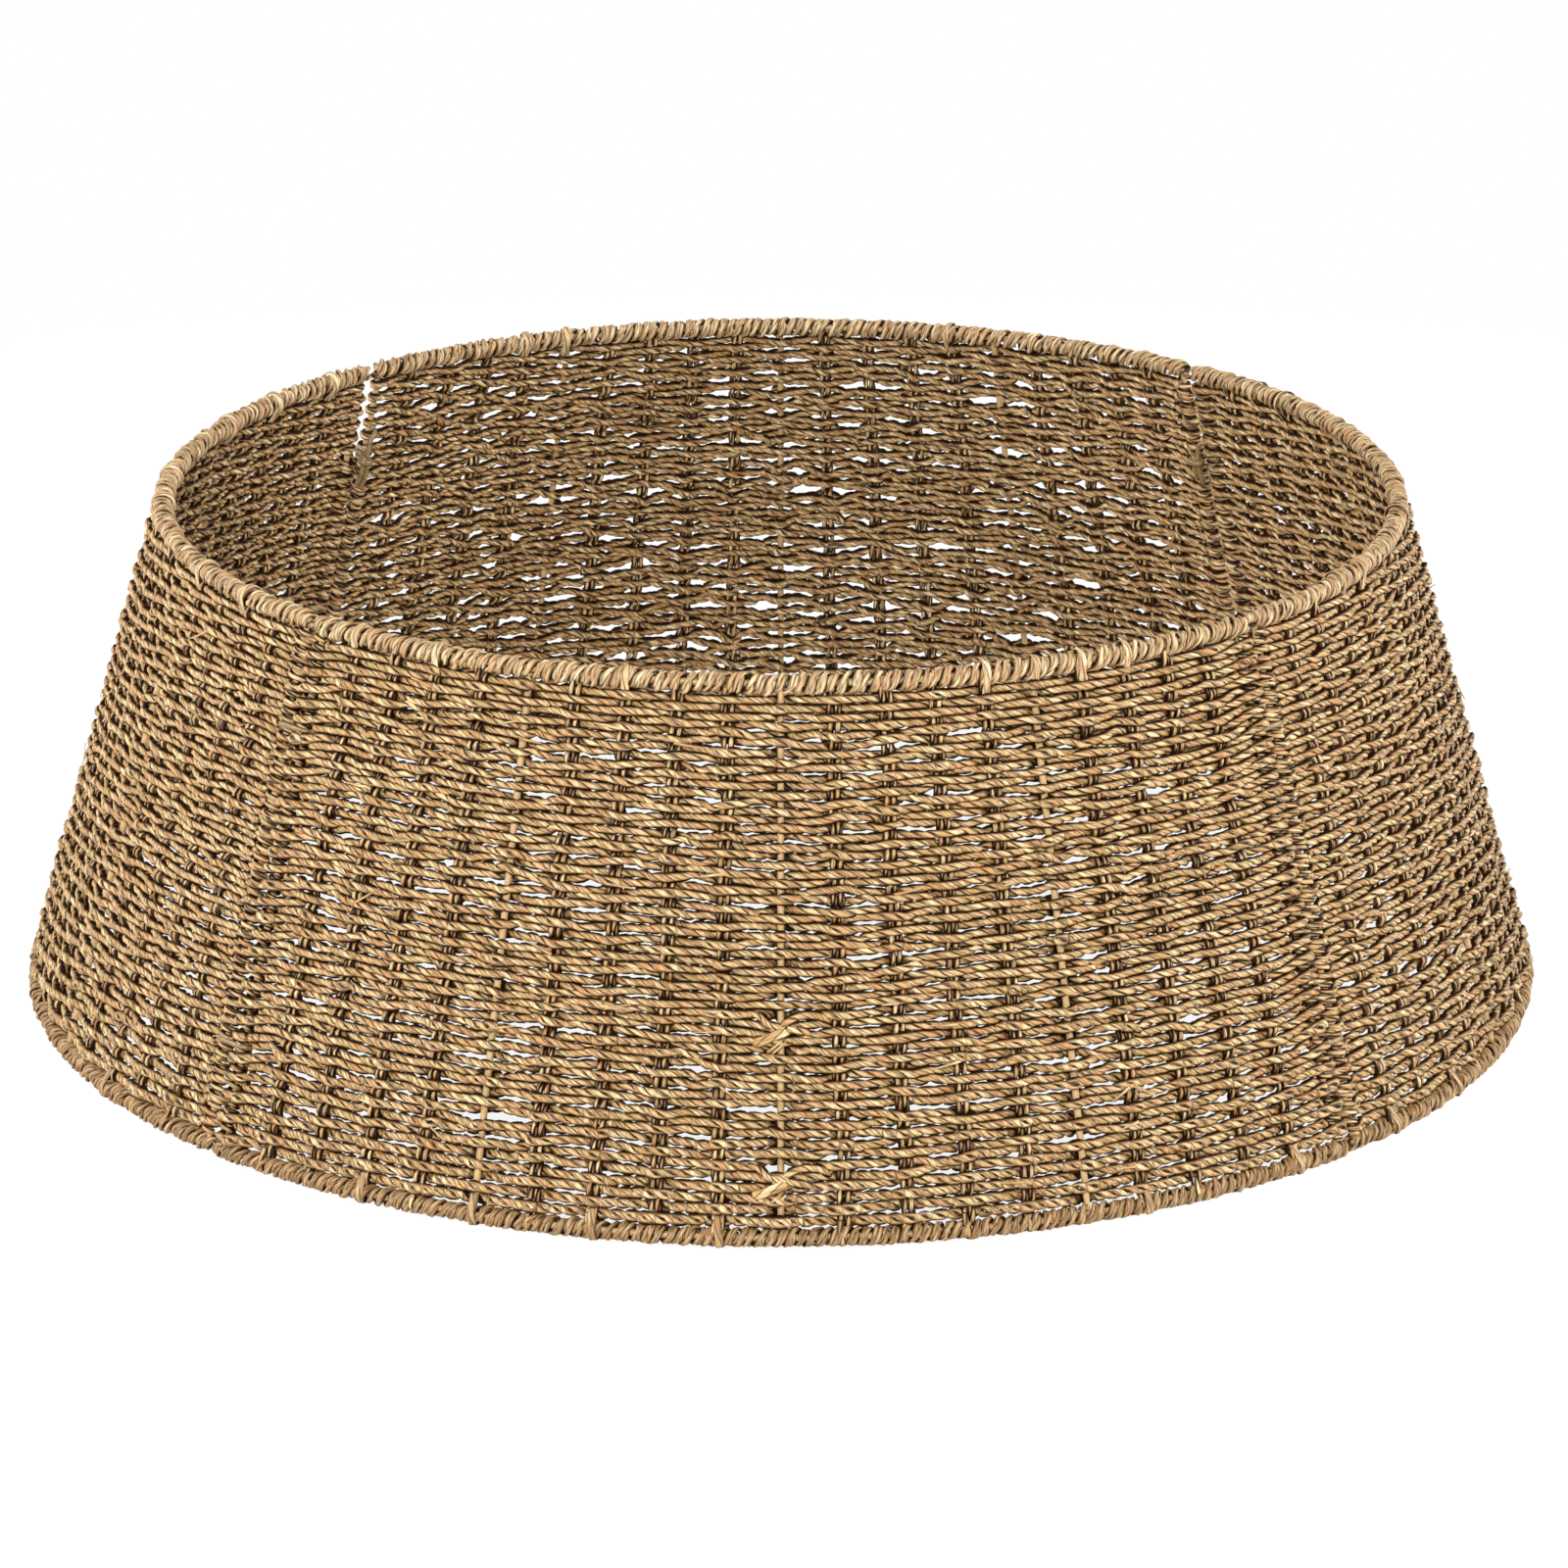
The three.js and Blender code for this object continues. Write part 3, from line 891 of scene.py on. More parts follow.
@dataclass(frozen=True)
class WovenWall:
    """The woven wall of a panel: one rope to and fro through the uprights, and those of doubled seagrass."""

    cone: Cone
    rope: Rope
    leg: Rope
    rim_radius: float
    tie_levels: tuple[float, ...]
    rows: int = 58
    foot_spread: float = 0.06
    foot_reach: float = 0.15
    foot_swelling: float = 0.52
    uprights: int = 20
    wire_every: int = 5
    rim_clearance: float = 2.0 * MM
    over_wire: float = 3.1 * MM
    over_grass: float = 2.6 * MM
    over_spread: float = 0.3
    crossing_sharpness: float = 0.75
    rim_rows: int = 5
    turn_reach: float = 3.4 * MM
    end_slant: float = 2.4 * MM
    inner_slant: float = -0.2
    end_width: float = 9 * MM
    open_ends: tuple[tuple[Panel, Side], ...] = ((Panel.BACK, Side.RIGHT), (Panel.LEFT, Side.LEFT))
    end_opening: float = 1.4 * MM
    open_flatness: float = 0.4
    seam_step: SeamStep = SeamStep(3 * MM)
    row_wander: float = 0.5 * MM
    own_wander: float = 0.45 * MM
    wander_length: float = 30 * MM
    wander_rows: int = 2
    row_sag: float = 1.7 * MM
    sag_length: float = 85 * MM
    sag_rows: int = 9
    pressing: float = 0.34
    press_spread: float = 0.8
    loosening: float = 0.04
    stray: float = 1.6 * MM
    crossing_stray: float = 1.3 * MM
    back_looseness: float = 2.0
    slack_length: float = 9 * MM
    end_hold: float = 20 * MM
    tie_push: float = 1.1 * MM
    tie_width: float = 14 * MM
    splice_push: float = 2.3 * MM
    splice_width: float = 9 * MM
    push_edge: float = 0.9 * MM
    push_fade: float = 10 * MM
    leg_offset: float = 1.55 * MM
    leg_swing: float = 1.0 * MM
    leg_sway: float = 0.7 * MM
    rim_hold: float = 2.6 * MM
    rim_turn_start: float = -40.0
    rim_turn_sweep: float = 260.0
    rim_turn_stops: int = 7
    wrap_radius: float = 2.6 * MM
    wrap_pitch: float = 3.8 * MM
    step: float = 1.75 * MM
    leg_step: float = 1.4 * MM
    parts: tuple[str, ...] = ("lower", "middle", "upper")

    def row_level(self, row: float) -> float:
        """Distance of a row up the slant, the rows near the foot being thicker and further apart."""
        foot = self.rim_radius + self.rim_clearance
        share = row / (self.rows - 1)
        spread = (1 - math.exp(-share / self.foot_reach)) / (1 - math.exp(-1 / self.foot_reach)) - share
        return foot + (self.cone.slant - 2 * foot) * (share + self.foot_spread * spread)

    def pushed(self, up: Numbers, off: Numbers, level: float, push: float) -> Numbers:
        """How far rows give way to something at a level.

        Args:
            up: distance of the rope up the slant.
            off: its distance along the row from what pushes it, over the width of that.
            level: level that is cleared.
            push: furthest that a row gives way.

        Returns:
            The distance that each place of the row moves up the slant.
        """
        gap = up - level
        return push * np.tanh(gap / self.push_edge) * np.exp(-np.abs(gap) / self.push_fade - off ** 2)

    def depth_at(self, cross: Numbers) -> Numbers:
        """How far off the wall's middle the rope passes: further round a wire than round grass."""
        marks = np.arange(self.uprights + 1)
        depths = np.where(marks % self.wire_every == 0, self.over_wire, self.over_grass)
        return np.interp(cross, marks, depths)

    def row_course(
        self, panel: Panel, row: int, wander: Wander, sag: Wander, splices: tuple[float, ...],
        rng: np.random.Generator,
    ) -> Points:
        """Leads the rope along one row, from left to right.

        Args:
            panel: panel of the wall, the back one being woven more loosely.
            row: number of the row from the foot.
            wander: wander that the row shares with its neighbours.
            sag: longer wander that it shares with the rows round them.
            splices: levels of the panel's splices.
            rng: seeded source of its own wander.

        Returns:
            Angle, distance up and lift at each point.
        """
        level = self.row_level(row)
        half = float(self.cone.half_span(level))
        length = 2 * half * float(self.cone.radius_at(level))
        run = np.linspace(0, length, round(length / self.step))
        cross = self.uprights * run / length
        to_end = np.minimum(run, length - run)
        free = np.clip(to_end / self.end_hold, 0, 1)
        wave = np.cos(math.pi * (cross + row))
        slack = 1 + self.over_spread * free * drift(rng, run, self.slack_length)
        sharp = 1 - self.crossing_sharpness + self.crossing_sharpness * wave * wave
        lift = self.depth_at(cross) * wave * sharp * slack
        hold = np.exp(-(to_end / self.end_width) ** 2)
        right = np.where(run > length / 2, 1, -1)
        flat = sum(hold * (right == side.value) for side in Side if self.apart(panel, side, level))
        lift = lift * (1 - self.open_flatness * flat) + self.seam_step.at(panel, run, length - run)
        from_rim = min(1.0, row / self.rim_rows, (self.rows - 1 - row) / self.rim_rows)
        shared = self.row_wander * wander.at(run, row) + self.row_sag * sag.at(run, row)
        own = self.own_wander * drift(rng, run, self.wander_length / 2)
        stray = self.stray * drift(rng, run, self.slack_length) ** 3
        stray = stray + self.crossing_stray * between(rng.uniform(-1, 1, self.uprights + 3), cross) ** 3
        loose = self.back_looseness if panel is Panel.BACK else 1.0
        up = level + free * (from_rim * (shared + loose * stray) + (1 + from_rim) / 2 * loose * own)
        up = up + self.end_slant * hold * right * np.where(lift > 0, 1.0, self.inner_slant)
        for tie in self.tie_levels:
            up = up + self.pushed(up, to_end / self.tie_width, tie, self.tie_push)
        for splice in splices:
            up = up + self.pushed(up, (run - length / 2) / self.splice_width, splice, self.splice_push)
        return np.stack([half * (2 * run / length - 1), up, lift], axis=1)

    def apart(self, panel: Panel, side: Side, up: float) -> bool:
        """Whether an end of a panel stands apart from the next panel at a level."""
        return (panel, side) in self.open_ends and up > max(self.tie_levels)

    def end_turn(self, panel: Panel, before: Points, after: Points) -> Points:
        """Takes the rope round an end post.

        Args:
            panel: panel of the post.
            before: last place of a row, as angle, distance up and lift.
            after: first place of the next row.

        Returns:
            The places between them.
        """
        side = Side.RIGHT if after[0] > 0 else Side.LEFT
        reach = self.turn_reach - (self.end_opening if self.apart(panel, side, after[1]) else 0.0)
        turn = np.linspace(0, math.pi, round(math.pi * self.turn_reach / self.step) + 2)[1:-1]
        past = reach * np.sin(turn) / float(self.cone.radius_at(after[1]))
        rise = turn / math.pi
        return np.stack([
            after[0] + math.copysign(1, after[0]) * past,
            before[1] + (after[1] - before[1]) * rise * rise * (3 - 2 * rise),
            (before[2] + after[2]) / 2 + (before[2] - after[2]) / 2 * np.cos(turn),
        ], axis=1)

    def rope_route(
        self, panel: Panel, splices: tuple[float, ...], rng: np.random.Generator
    ) -> tuple[Points, list[int]]:
        """Leads the rope through every row and round the end posts.

        Args:
            panel: panel of the wall.
            splices: levels of the panel's splices.
            rng: seeded source of its wander.

        Returns:
            Angle, distance up and lift at each point, and the point at which each row starts.
        """
        longest = FULL_TURN / len(Panel) * self.cone.base_radius
        wander = Wander(rng, longest, self.wander_length, self.rows, self.wander_rows)
        sag = Wander(rng, longest, self.sag_length, self.rows, self.sag_rows)
        courses: list[Points] = []
        starts: list[int] = []
        for row in range(self.rows):
            course = self.row_course(panel, row, wander, sag, splices, rng)
            if row % 2:
                course = course[::-1]
            if courses:
                courses.append(self.end_turn(panel, courses[-1][-1], course[0]))
            starts.append(sum(len(part) for part in courses))
            courses.append(course)
        return np.concatenate(courses), starts

    def weave(self, panel: Panel, splices: tuple[float, ...], finish: bpy.types.Material) -> None:
        """Builds the woven rope of a panel, in three heights of rows."""
        rng = np.random.default_rng(Seed.WEAVE + panel.value)
        route, starts = self.rope_route(panel, splices, rng)
        path = self.cone.place(route[:, 0], route[:, 1], route[:, 2])
        uneven = 1 + self.press_spread * drift(rng, lengths_along(path), self.wander_length)
        swelling = self.foot_swelling * np.exp(-route[:, 1] / (self.foot_reach * self.cone.slant))
        pressing = self.pressing * uneven * np.abs(route[:, 2]) / self.over_wire
        pressed = pressing - self.loosening + swelling
        laid = self.rope.plies(path, self.cone.upslope(route[:, 0]), rng, pressed)
        cuts = [starts[self.rows * part // len(self.parts)] for part in range(len(self.parts))]
        for number, (part, first, last) in enumerate(zip(self.parts, cuts, [*cuts[1:], len(path) - 1])):
            mesh = StrandMesh(first_run=len(self.parts) * panel.value + number)
            for ply in laid:
                mesh.sweep(ply.cut(first, last), self.rope.section)
            piece = mesh.build(f"{panel.body}_weave_{part}", finish, panel)
            hand_over(piece, panel.body, f"{panel.body}_woven_mat")

    def rim_turn(self, rim: Rim) -> Points:
        """Stops of an upright round a rim, as distance along it, distance up and lift."""
        heading, side = (1, -1) if rim is Rim.TOP else (-1, 1)
        share = np.linspace(0, 1, self.rim_turn_stops)
        turn = np.radians(self.rim_turn_start + self.rim_turn_sweep * share)
        slide = side * self.leg_offset * np.cos(math.pi * share)
        up = self.cone.rim_up(rim) + heading * self.rim_hold * np.sin(turn)
        return np.stack([slide, up, -side * self.rim_hold * np.cos(turn)], axis=1)

    def leg_path(self, upright: int, rng: np.random.Generator) -> tuple[Points, Points]:
        """Leads a doubled upright from rim to rim, in and out of the rows, and round both rims.

        Args:
            upright: number of the upright from the left end.
            rng: seeded source of its wander.

        Returns:
            The closed path and a direction at each point that it doesn't run in.
        """
        cone = self.cone
        levels = np.array([self.row_level(row) for row in range(self.rows)])
        swing = -self.leg_swing * np.cos(math.pi * (upright + np.arange(self.rows)))
        sway = self.leg_sway * drift(rng, levels, self.wander_length)
        rise = np.stack([sway - self.leg_offset, levels, swing], axis=1)
        fall = np.stack([sway + self.leg_offset, levels, swing], axis=1)[::-1]
        turns = [self.rim_turn(rim) for rim in (Rim.TOP, Rim.BOTTOM)]
        route = np.concatenate([rise, turns[0], fall, turns[1], rise[:1]])
        share = 2 * upright / self.uprights - 1
        on_wall = np.clip(route[:, 1], 0, cone.slant)
        angle = share * cone.half_span(on_wall) + route[:, 0] / cone.radius_at(on_wall)
        path = smooth_path(cone.place(angle, route[:, 1], route[:, 2]), self.leg_step)
        return path, np.broadcast_to(along(share * float(cone.half_span(0.0))), path.shape)

    def post_wrap(self, panel: Panel, side: Side) -> tuple[Points, Points]:
        """Winds a thin rope round an end post, between the turns of the rows.

        Args:
            panel: panel of the post.
            side: end of the panel.

        Returns:
            The path and a direction at each point that it doesn't run in.
        """
        edge = side.value * math.pi / len(Panel)
        head = max(self.tie_levels) if (panel, side) in self.open_ends else self.cone.slant - self.rim_radius
        height = head - self.rim_radius
        turns = height / self.wrap_pitch
        share = np.linspace(0, 1, round(turns * FULL_TURN * self.wrap_radius / self.leg_step))
        turn = FULL_TURN * turns * share
        post = self.cone.on_post(side, self.rim_radius + height * share)
        away = np.cos(turn)[:, None] * along(edge) + np.sin(turn)[:, None] * self.cone.off_wall(edge)
        return post + self.wrap_radius * away, np.broadcast_to(self.cone.upslope(edge), post.shape)

    def stand(self, panel: Panel, finish: bpy.types.Material, floor: float) -> None:
        """Builds the doubled seagrass uprights of a panel and the wraps of its end posts."""
        rng = np.random.default_rng(Seed.UPRIGHTS + panel.value)
        grass = [upright for upright in range(1, self.uprights) if upright % self.wire_every]
        paths = [self.leg_path(upright, rng) for upright in grass]
        paths += [self.post_wrap(panel, side) for side in Side]
        mesh = StrandMesh(first_run=panel.value)
        for path, across in paths:
            for ply in self.leg.plies(path, across, rng):
                mesh.sweep(ply, self.leg.section)
        piece = mesh.build(f"{panel.body}_seagrass_uprights", finish, panel, floor)
        hand_over(piece, panel.body, f"{panel.body}_woven_mat")


@dataclass(frozen=True)
class LooseBlades:
    """Ends of blades that have worked loose from the rope of a wall."""

    wall: WovenWall
    count: int = 46
    whole_rows: int = 2
    outer_share: float = 0.65
    lengths: tuple[float, float] = (7 * MM, 15 * MM)
    slope: float = 0.3
    level_spread: float = 1 * MM
    rope_cover: float = 1.6 * MM
    tip_lifts: tuple[float, float] = (0.3 * MM, 2.0 * MM)
    breadths: tuple[float, float] = (1.0 * MM, 1.7 * MM)
    taper: float = 0.85
    thickness: float = 0.45 * MM
    stops: int = 9
    section: Section = Section(6)

    def blade(self, rng: np.random.Generator) -> Strand:
        """Makes one loose end, at a crossing where the rope is on the face that it leaves."""
        wall, cone = self.wall, self.wall.cone
        share = np.linspace(0, 1, self.stops)
        row = int(rng.integers(self.whole_rows, wall.rows - self.whole_rows))
        face = 1 if rng.random() < self.outer_share else -1
        upright = 2 * int(rng.integers(1, wall.uprights // 2 - 1)) + (row + (face < 0)) % 2
        level = wall.row_level(row)
        start = float(cone.half_span(level)) * (2 * upright / wall.uprights - 1)
        length = rng.uniform(*self.lengths)
        up = level + length * rng.normal(0, self.slope) * share + self.level_spread * rng.uniform(-1, 1)
        lift = face * (wall.over_grass + self.rope_cover + rng.uniform(*self.tip_lifts) * share ** 2)
        angle = start + rng.choice([-1, 1]) * length * share / float(cone.radius_at(level))
        breadth = rng.uniform(*self.breadths) * np.sqrt(1 - self.taper * share)
        return Strand.flat(cone.place(angle, up, lift), cone.off_wall(start), breadth, self.thickness)

    def build(self, panel: Panel, finish: bpy.types.Material) -> None:
        """Builds the loose ends of a panel."""
        rng = np.random.default_rng(Seed.LOOSE_ENDS + panel.value)
        mesh = StrandMesh(first_run=panel.value)
        for _ in range(self.count):
            mesh.sweep(self.blade(rng), self.section)
        piece = mesh.build(f"{panel.body}_loose_blades", finish, panel)
        hand_over(piece, panel.body, f"{panel.body}_woven_mat")


@dataclass(frozen=True)
class Splice:
    """Place where a new length of rope was laid in: two rope ends cross a wire over a folded blade.

    The stops are millimetres to the right of the wire, up the slant and off the wall.
    """

    cone: Cone
    rope: Rope
    level: float
    old_end: tuple[tuple[float, float, float], ...] = (
        (-16, 1.2, 0.3), (-9.4, 1.0, 2.4), (-5, -2.8, 3.4), (0, -4.0, 3.8), (6, -5.2, 3.2), (12, -6.6, 0.8))
    new_end: tuple[tuple[float, float, float], ...] = (
        (1.0, -4.6, 3.0), (3.2, -1.4, 4.4), (8, 0.9, 4.2), (14, 0.8, 3.0), (21, -1.5, 0.6))
    fold: tuple[tuple[float, float, float], ...] = (
        (-11.5, -10.8, 1.0), (-8, -9.8, 4.6), (-3, -7.6, 5.6), (1.5, -5.9, 5.2), (3.4, -5.0, 2.6))
    tails: tuple[tuple[float, float, float], ...] = (
        (-6, -15.4, 1.0), (-3.6, -13.0, 4.2), (-0.4, -10.2, 4.8), (1.2, -8.8, 2.2))
    fold_breadth: float = 4.0 * MM
    tail_breadth: float = 1.2 * MM
    tail_count: int = 2
    tail_apart: float = 1.5
    thickness: float = 1.0 * MM
    step: float = 1.2 * MM
    run_per_level: float = 100.0
    fold_section: Section = Section(8)
    tail_section: Section = Section(6)

    def path(self, stops: Points) -> Points:
        """Smooth path through stops given from the wire and the splice's level."""
        across, up, lift = (np.asarray(stops, float) * MM).T
        return smooth_path(self.cone.place(across / self.cone.radius_at(self.level), self.level + up, lift),
                           self.step)

    def build(self, panel: Panel, name: str, finish: bpy.types.Material, rng: np.random.Generator) -> None:
        """Builds the rope ends, the folded blade and its tails."""
        mesh = StrandMesh(first_run=self.level * self.run_per_level)
        for stops in (self.old_end, self.new_end):
            path = self.path(np.array(stops))
            for ply in self.rope.plies(path, np.broadcast_to(self.cone.upslope(0.0), path.shape), rng):
                mesh.sweep(ply, self.rope.section)
        face = self.cone.off_wall(0.0)
        fold = self.path(np.array(self.fold))
        mesh.sweep(Strand.flat(fold, face, self.fold_breadth, self.thickness), self.fold_section)
        for tail in range(self.tail_count):
            stops = np.array(self.tails) + [self.tail_apart * tail, -self.tail_apart * tail / 2, 0]
            blade = Strand.flat(self.path(stops), face, self.tail_breadth, self.thickness)
            mesh.sweep(blade, self.tail_section)
        piece = mesh.build(name, finish, panel)
        hand_over(piece, panel.body, f"{panel.body}_woven_mat")


@dataclass(frozen=True)
class WhippedRim:
    """Seagrass whipped round a rim wire in slanted wraps of twisted blades, with a few straps over them."""

    cone: Cone
    top_radius: float
    bottom_radius: float
    section: Section
    wrap_spacing: float = 4.3 * MM
    starts: int = 2
    blades: int = 2
    blade_breadth: float = 2.3 * MM
    blade_thickness: float = 1.7 * MM
    strand_breadth: float = 2.3 * MM
    strand_thickness: float = 1.4 * MM
    twist_pitch: float = 19 * MM
    twist_wander: float = 1.2
    unevenness: float = 0.3
    wrap_wander: float = 0.7
    lift_wander: float = 0.5 * MM
    crease_share: float = 0.7
    strap_places: int = 20
    strap_share: float = 0.28
    strap_breadth: float = 3.4 * MM
    strap_thickness: float = 0.9 * MM
    strap_foot: float = 9 * MM
    strap_inset: float = 1.5 * MM
    strap_slides: tuple[float, float] = (1 * MM, 4 * MM)
    strap_turn: tuple[float, float] = (-35.0, 215.0)
    strap_stops: int = 8
    end_past: float = 3.6 * MM
    seam_step: SeamStep = SeamStep(2.4 * MM)
    end_taper: float = 4.0 * MM
    end_radius: float = 1.4 * MM
    step: float = 1.5 * MM

    def strap(self, rim: Rim, place: int, rng: np.random.Generator) -> Strand:
        """Makes a flat blade that ties an upright to the rim.

        Args:
            rim: rim that it goes round.
            place: number of the upright from the left end.
            rng: seeded source of its slant.

        Returns:
            The blade.
        """
        heading = 1 if rim is Rim.TOP else -1
        middle = self.cone.rim_up(rim)
        hold = (self.top_radius if rim is Rim.TOP else self.bottom_radius) + self.strap_thickness / 4
        turn = np.radians(np.linspace(*self.strap_turn, self.strap_stops))
        rise = np.concatenate([[-self.strap_foot], hold * np.sin(turn), [-self.strap_foot]])
        lift = np.concatenate([[self.strap_inset], hold * np.cos(turn), [-self.strap_inset]])
        start = float(self.cone.half_span(middle)) * (2 * place / self.strap_places - 1)
        slide = np.linspace(0, rng.uniform(*self.strap_slides), len(rise))
        slide = slide / float(self.cone.radius_at(middle))
        path = smooth_path(self.cone.place(start + slide, middle + heading * rise, lift), self.step / 2)
        off_rim = path - self.cone.place(start, middle)
        return Strand.flat(path, off_rim, self.strap_breadth, self.strap_thickness)

    def whip(self, panel: Panel, rim: Rim, finish: bpy.types.Material, floor: float) -> None:
        """Builds the whipping of one rim of a panel."""
        rng = np.random.default_rng(Seed.WHIPPING + len(Rim) * panel.value + (rim is Rim.TOP))
        mesh = StrandMesh(first_run=len(Rim) * panel.value + (rim is Rim.TOP))
        up = self.cone.rim_up(rim)
        around = float(self.cone.radius_at(up))
        reach = float(self.cone.half_span(up, self.end_past)) * around
        pitch = self.wrap_spacing * self.starts
        radius = self.top_radius if rim is Rim.TOP else self.bottom_radius
        core = radius - (self.strand_thickness + self.blade_thickness) / 2
        count = round(2 * reach / pitch * math.hypot(FULL_TURN * core, pitch) / self.step)
        run = np.linspace(-reach, reach, count)
        angle = run / around
        ease = np.sqrt(np.clip((reach - np.abs(run)) / self.end_taper, 0, 1))
        step_out = self.seam_step.at(panel, reach + run, reach - run)
        for start in range(self.starts):
            hold = self.end_radius + (core - self.end_radius) * ease
            hold = hold + self.lift_wander * drift(rng, run, self.wrap_spacing / 2)
            turn = FULL_TURN * (run / pitch + start / self.starts)
            turn = turn + self.wrap_wander * drift(rng, run, self.wrap_spacing)
            away = np.cos(turn)[:, None] * outward(angle) + np.sin(turn)[:, None] * UPWARD
            path = self.cone.place(angle, up, step_out) + hold[:, None] * away
            for strand in self.twisted(path, away, rng):
                mesh.sweep(strand, self.section)
        for place in range(1, self.strap_places):
            if rng.random() < self.strap_share:
                mesh.sweep(self.strap(rim, place, rng), self.section)
        piece = mesh.build(f"{panel.body}_{rim.value}_whipping", finish, panel, floor)
        hand_over(piece, panel.body, f"{panel.body}_{rim.value}_binding")

    def twisted(self, path: Points, away: Points, rng: np.random.Generator) -> list[Strand]:
        """Twists the blades of a wrap round its path.

        Args:
            path: middle of the wrap.
            away: direction off the rim at each point.
            rng: seeded source of its unevenness.

        Returns:
            The blades.
        """
        ahead = tangents_along(path)
        off_rim = square_to(away, ahead)
        across = np.cross(ahead, off_rim)
        lengths = lengths_along(path)
        twist = FULL_TURN * lengths / self.twist_pitch
        twist = twist + self.twist_wander * drift(rng, lengths, self.twist_pitch / 2)
        # Painted shade darkens only the creases between the wraps of a rim, not its depth.
        lie = Lie(path, across / (self.wrap_spacing * self.crease_share), off_rim, np.zeros(len(path)),
                  open_depth=0.0, shut_depth=-MM, deepest=0.0)
        blades = []
        for blade in range(self.blades):
            phase = twist + FULL_TURN * blade / self.blades
            middle = (path + across * (self.strand_breadth / 2 * np.sin(phase))[:, None]
                      + off_rim * (self.strand_thickness / 2 * np.cos(phase))[:, None])
            swell = (1 + self.unevenness * drift(rng, lengths, self.twist_pitch / 3))[:, None]
            blades.append(Strand(middle, across * self.blade_breadth / 2 * swell,
                                 off_rim * self.blade_thickness / 2 * swell, lie))
        return blades


@dataclass(frozen=True)
class WireFrame:
    """The bent and welded wire frame of a panel."""

    cone: Cone
    wire_radius: float
    weld_gap: float = 0.3 * MM
    uprights: int = 3
    step: float = 6 * MM
    rim_past: float = 1.4 * MM
    end_rounding: float = 0.5 * MM
    end_share: float = 0.7
    section: Section = Section(12)

    def rod(self, path: Points, upward: Points) -> Strand:
        """Makes one wire with rounded ends from its path and a direction that it doesn't run in."""
        ahead = tangents_along(path)
        first = square_to(np.broadcast_to(upward, path.shape), ahead)
        lengths = lengths_along(path)
        to_end = np.minimum(lengths, lengths[-1] - lengths)
        size = (self.wire_radius * np.where(to_end < self.end_rounding, self.end_share, 1.0))[:, None]
        return Strand(path, first * size, np.cross(ahead, first) * size)

    def straight(self, foot: Points, head: Points) -> Strand:
        """Makes a straight wire, with a close pair of rings at each end for its rounding."""
        length = float(np.linalg.norm(head - foot))
        inner = np.linspace(self.end_rounding, length - self.end_rounding, round(length / self.step))
        share = np.concatenate([[0.0], inner, [length]]) / length
        return self.rod(foot + (head - foot) * share[:, None], outward(0.0))

    def bent(self, rim: Rim) -> Strand:
        """Makes the wire of a rim."""
        up = self.cone.rim_up(rim)
        half = float(self.cone.half_span(up, self.rim_past))
        angle = np.linspace(-half, half, round(2 * half * float(self.cone.radius_at(up)) / self.step))
        return self.rod(self.cone.place(angle, up), UPWARD)

    def build(self, panel: Panel, finish: bpy.types.Material) -> None:
        """Builds every wire of a panel as a piece of its own."""
        inset = self.wire_radius + self.weld_gap
        ends = (inset, self.cone.slant - inset)
        wires = {f"{side.name.lower()}_post": self.straight(*(self.cone.on_post(side, up) for up in ends))
                 for side in Side}
        for number in range(1, self.uprights + 1):
            share = 2 * number / (self.uprights + 1) - 1
            places = (self.cone.place(share * self.cone.half_span(up), up) for up in ends)
            wires[f"upright_{number}"] = self.straight(*places)
        wires |= {f"{rim.value}_rim_wire": self.bent(rim) for rim in Rim}
        for name, wire in wires.items():
            mesh = StrandMesh()
            mesh.sweep(wire, self.section)
            piece = mesh.build(f"{panel.body}_{name}_rod", finish, panel)
            hand_over(piece, panel.body, f"{panel.body}_{name}")


@dataclass(frozen=True)
class Seam:
    """A seam between two panels: its name, the body that carries its ties, and how their cords run.

    The seam is at one end of the carrying panel, and the ties also go round the post of the neighbour where
    one is named.
    """

    name: str
    body: str
    neighbour: str | None = None
    end: Side = Side.RIGHT
    lead_height: float = 12 * MM
    tail_length: float = 15 * MM


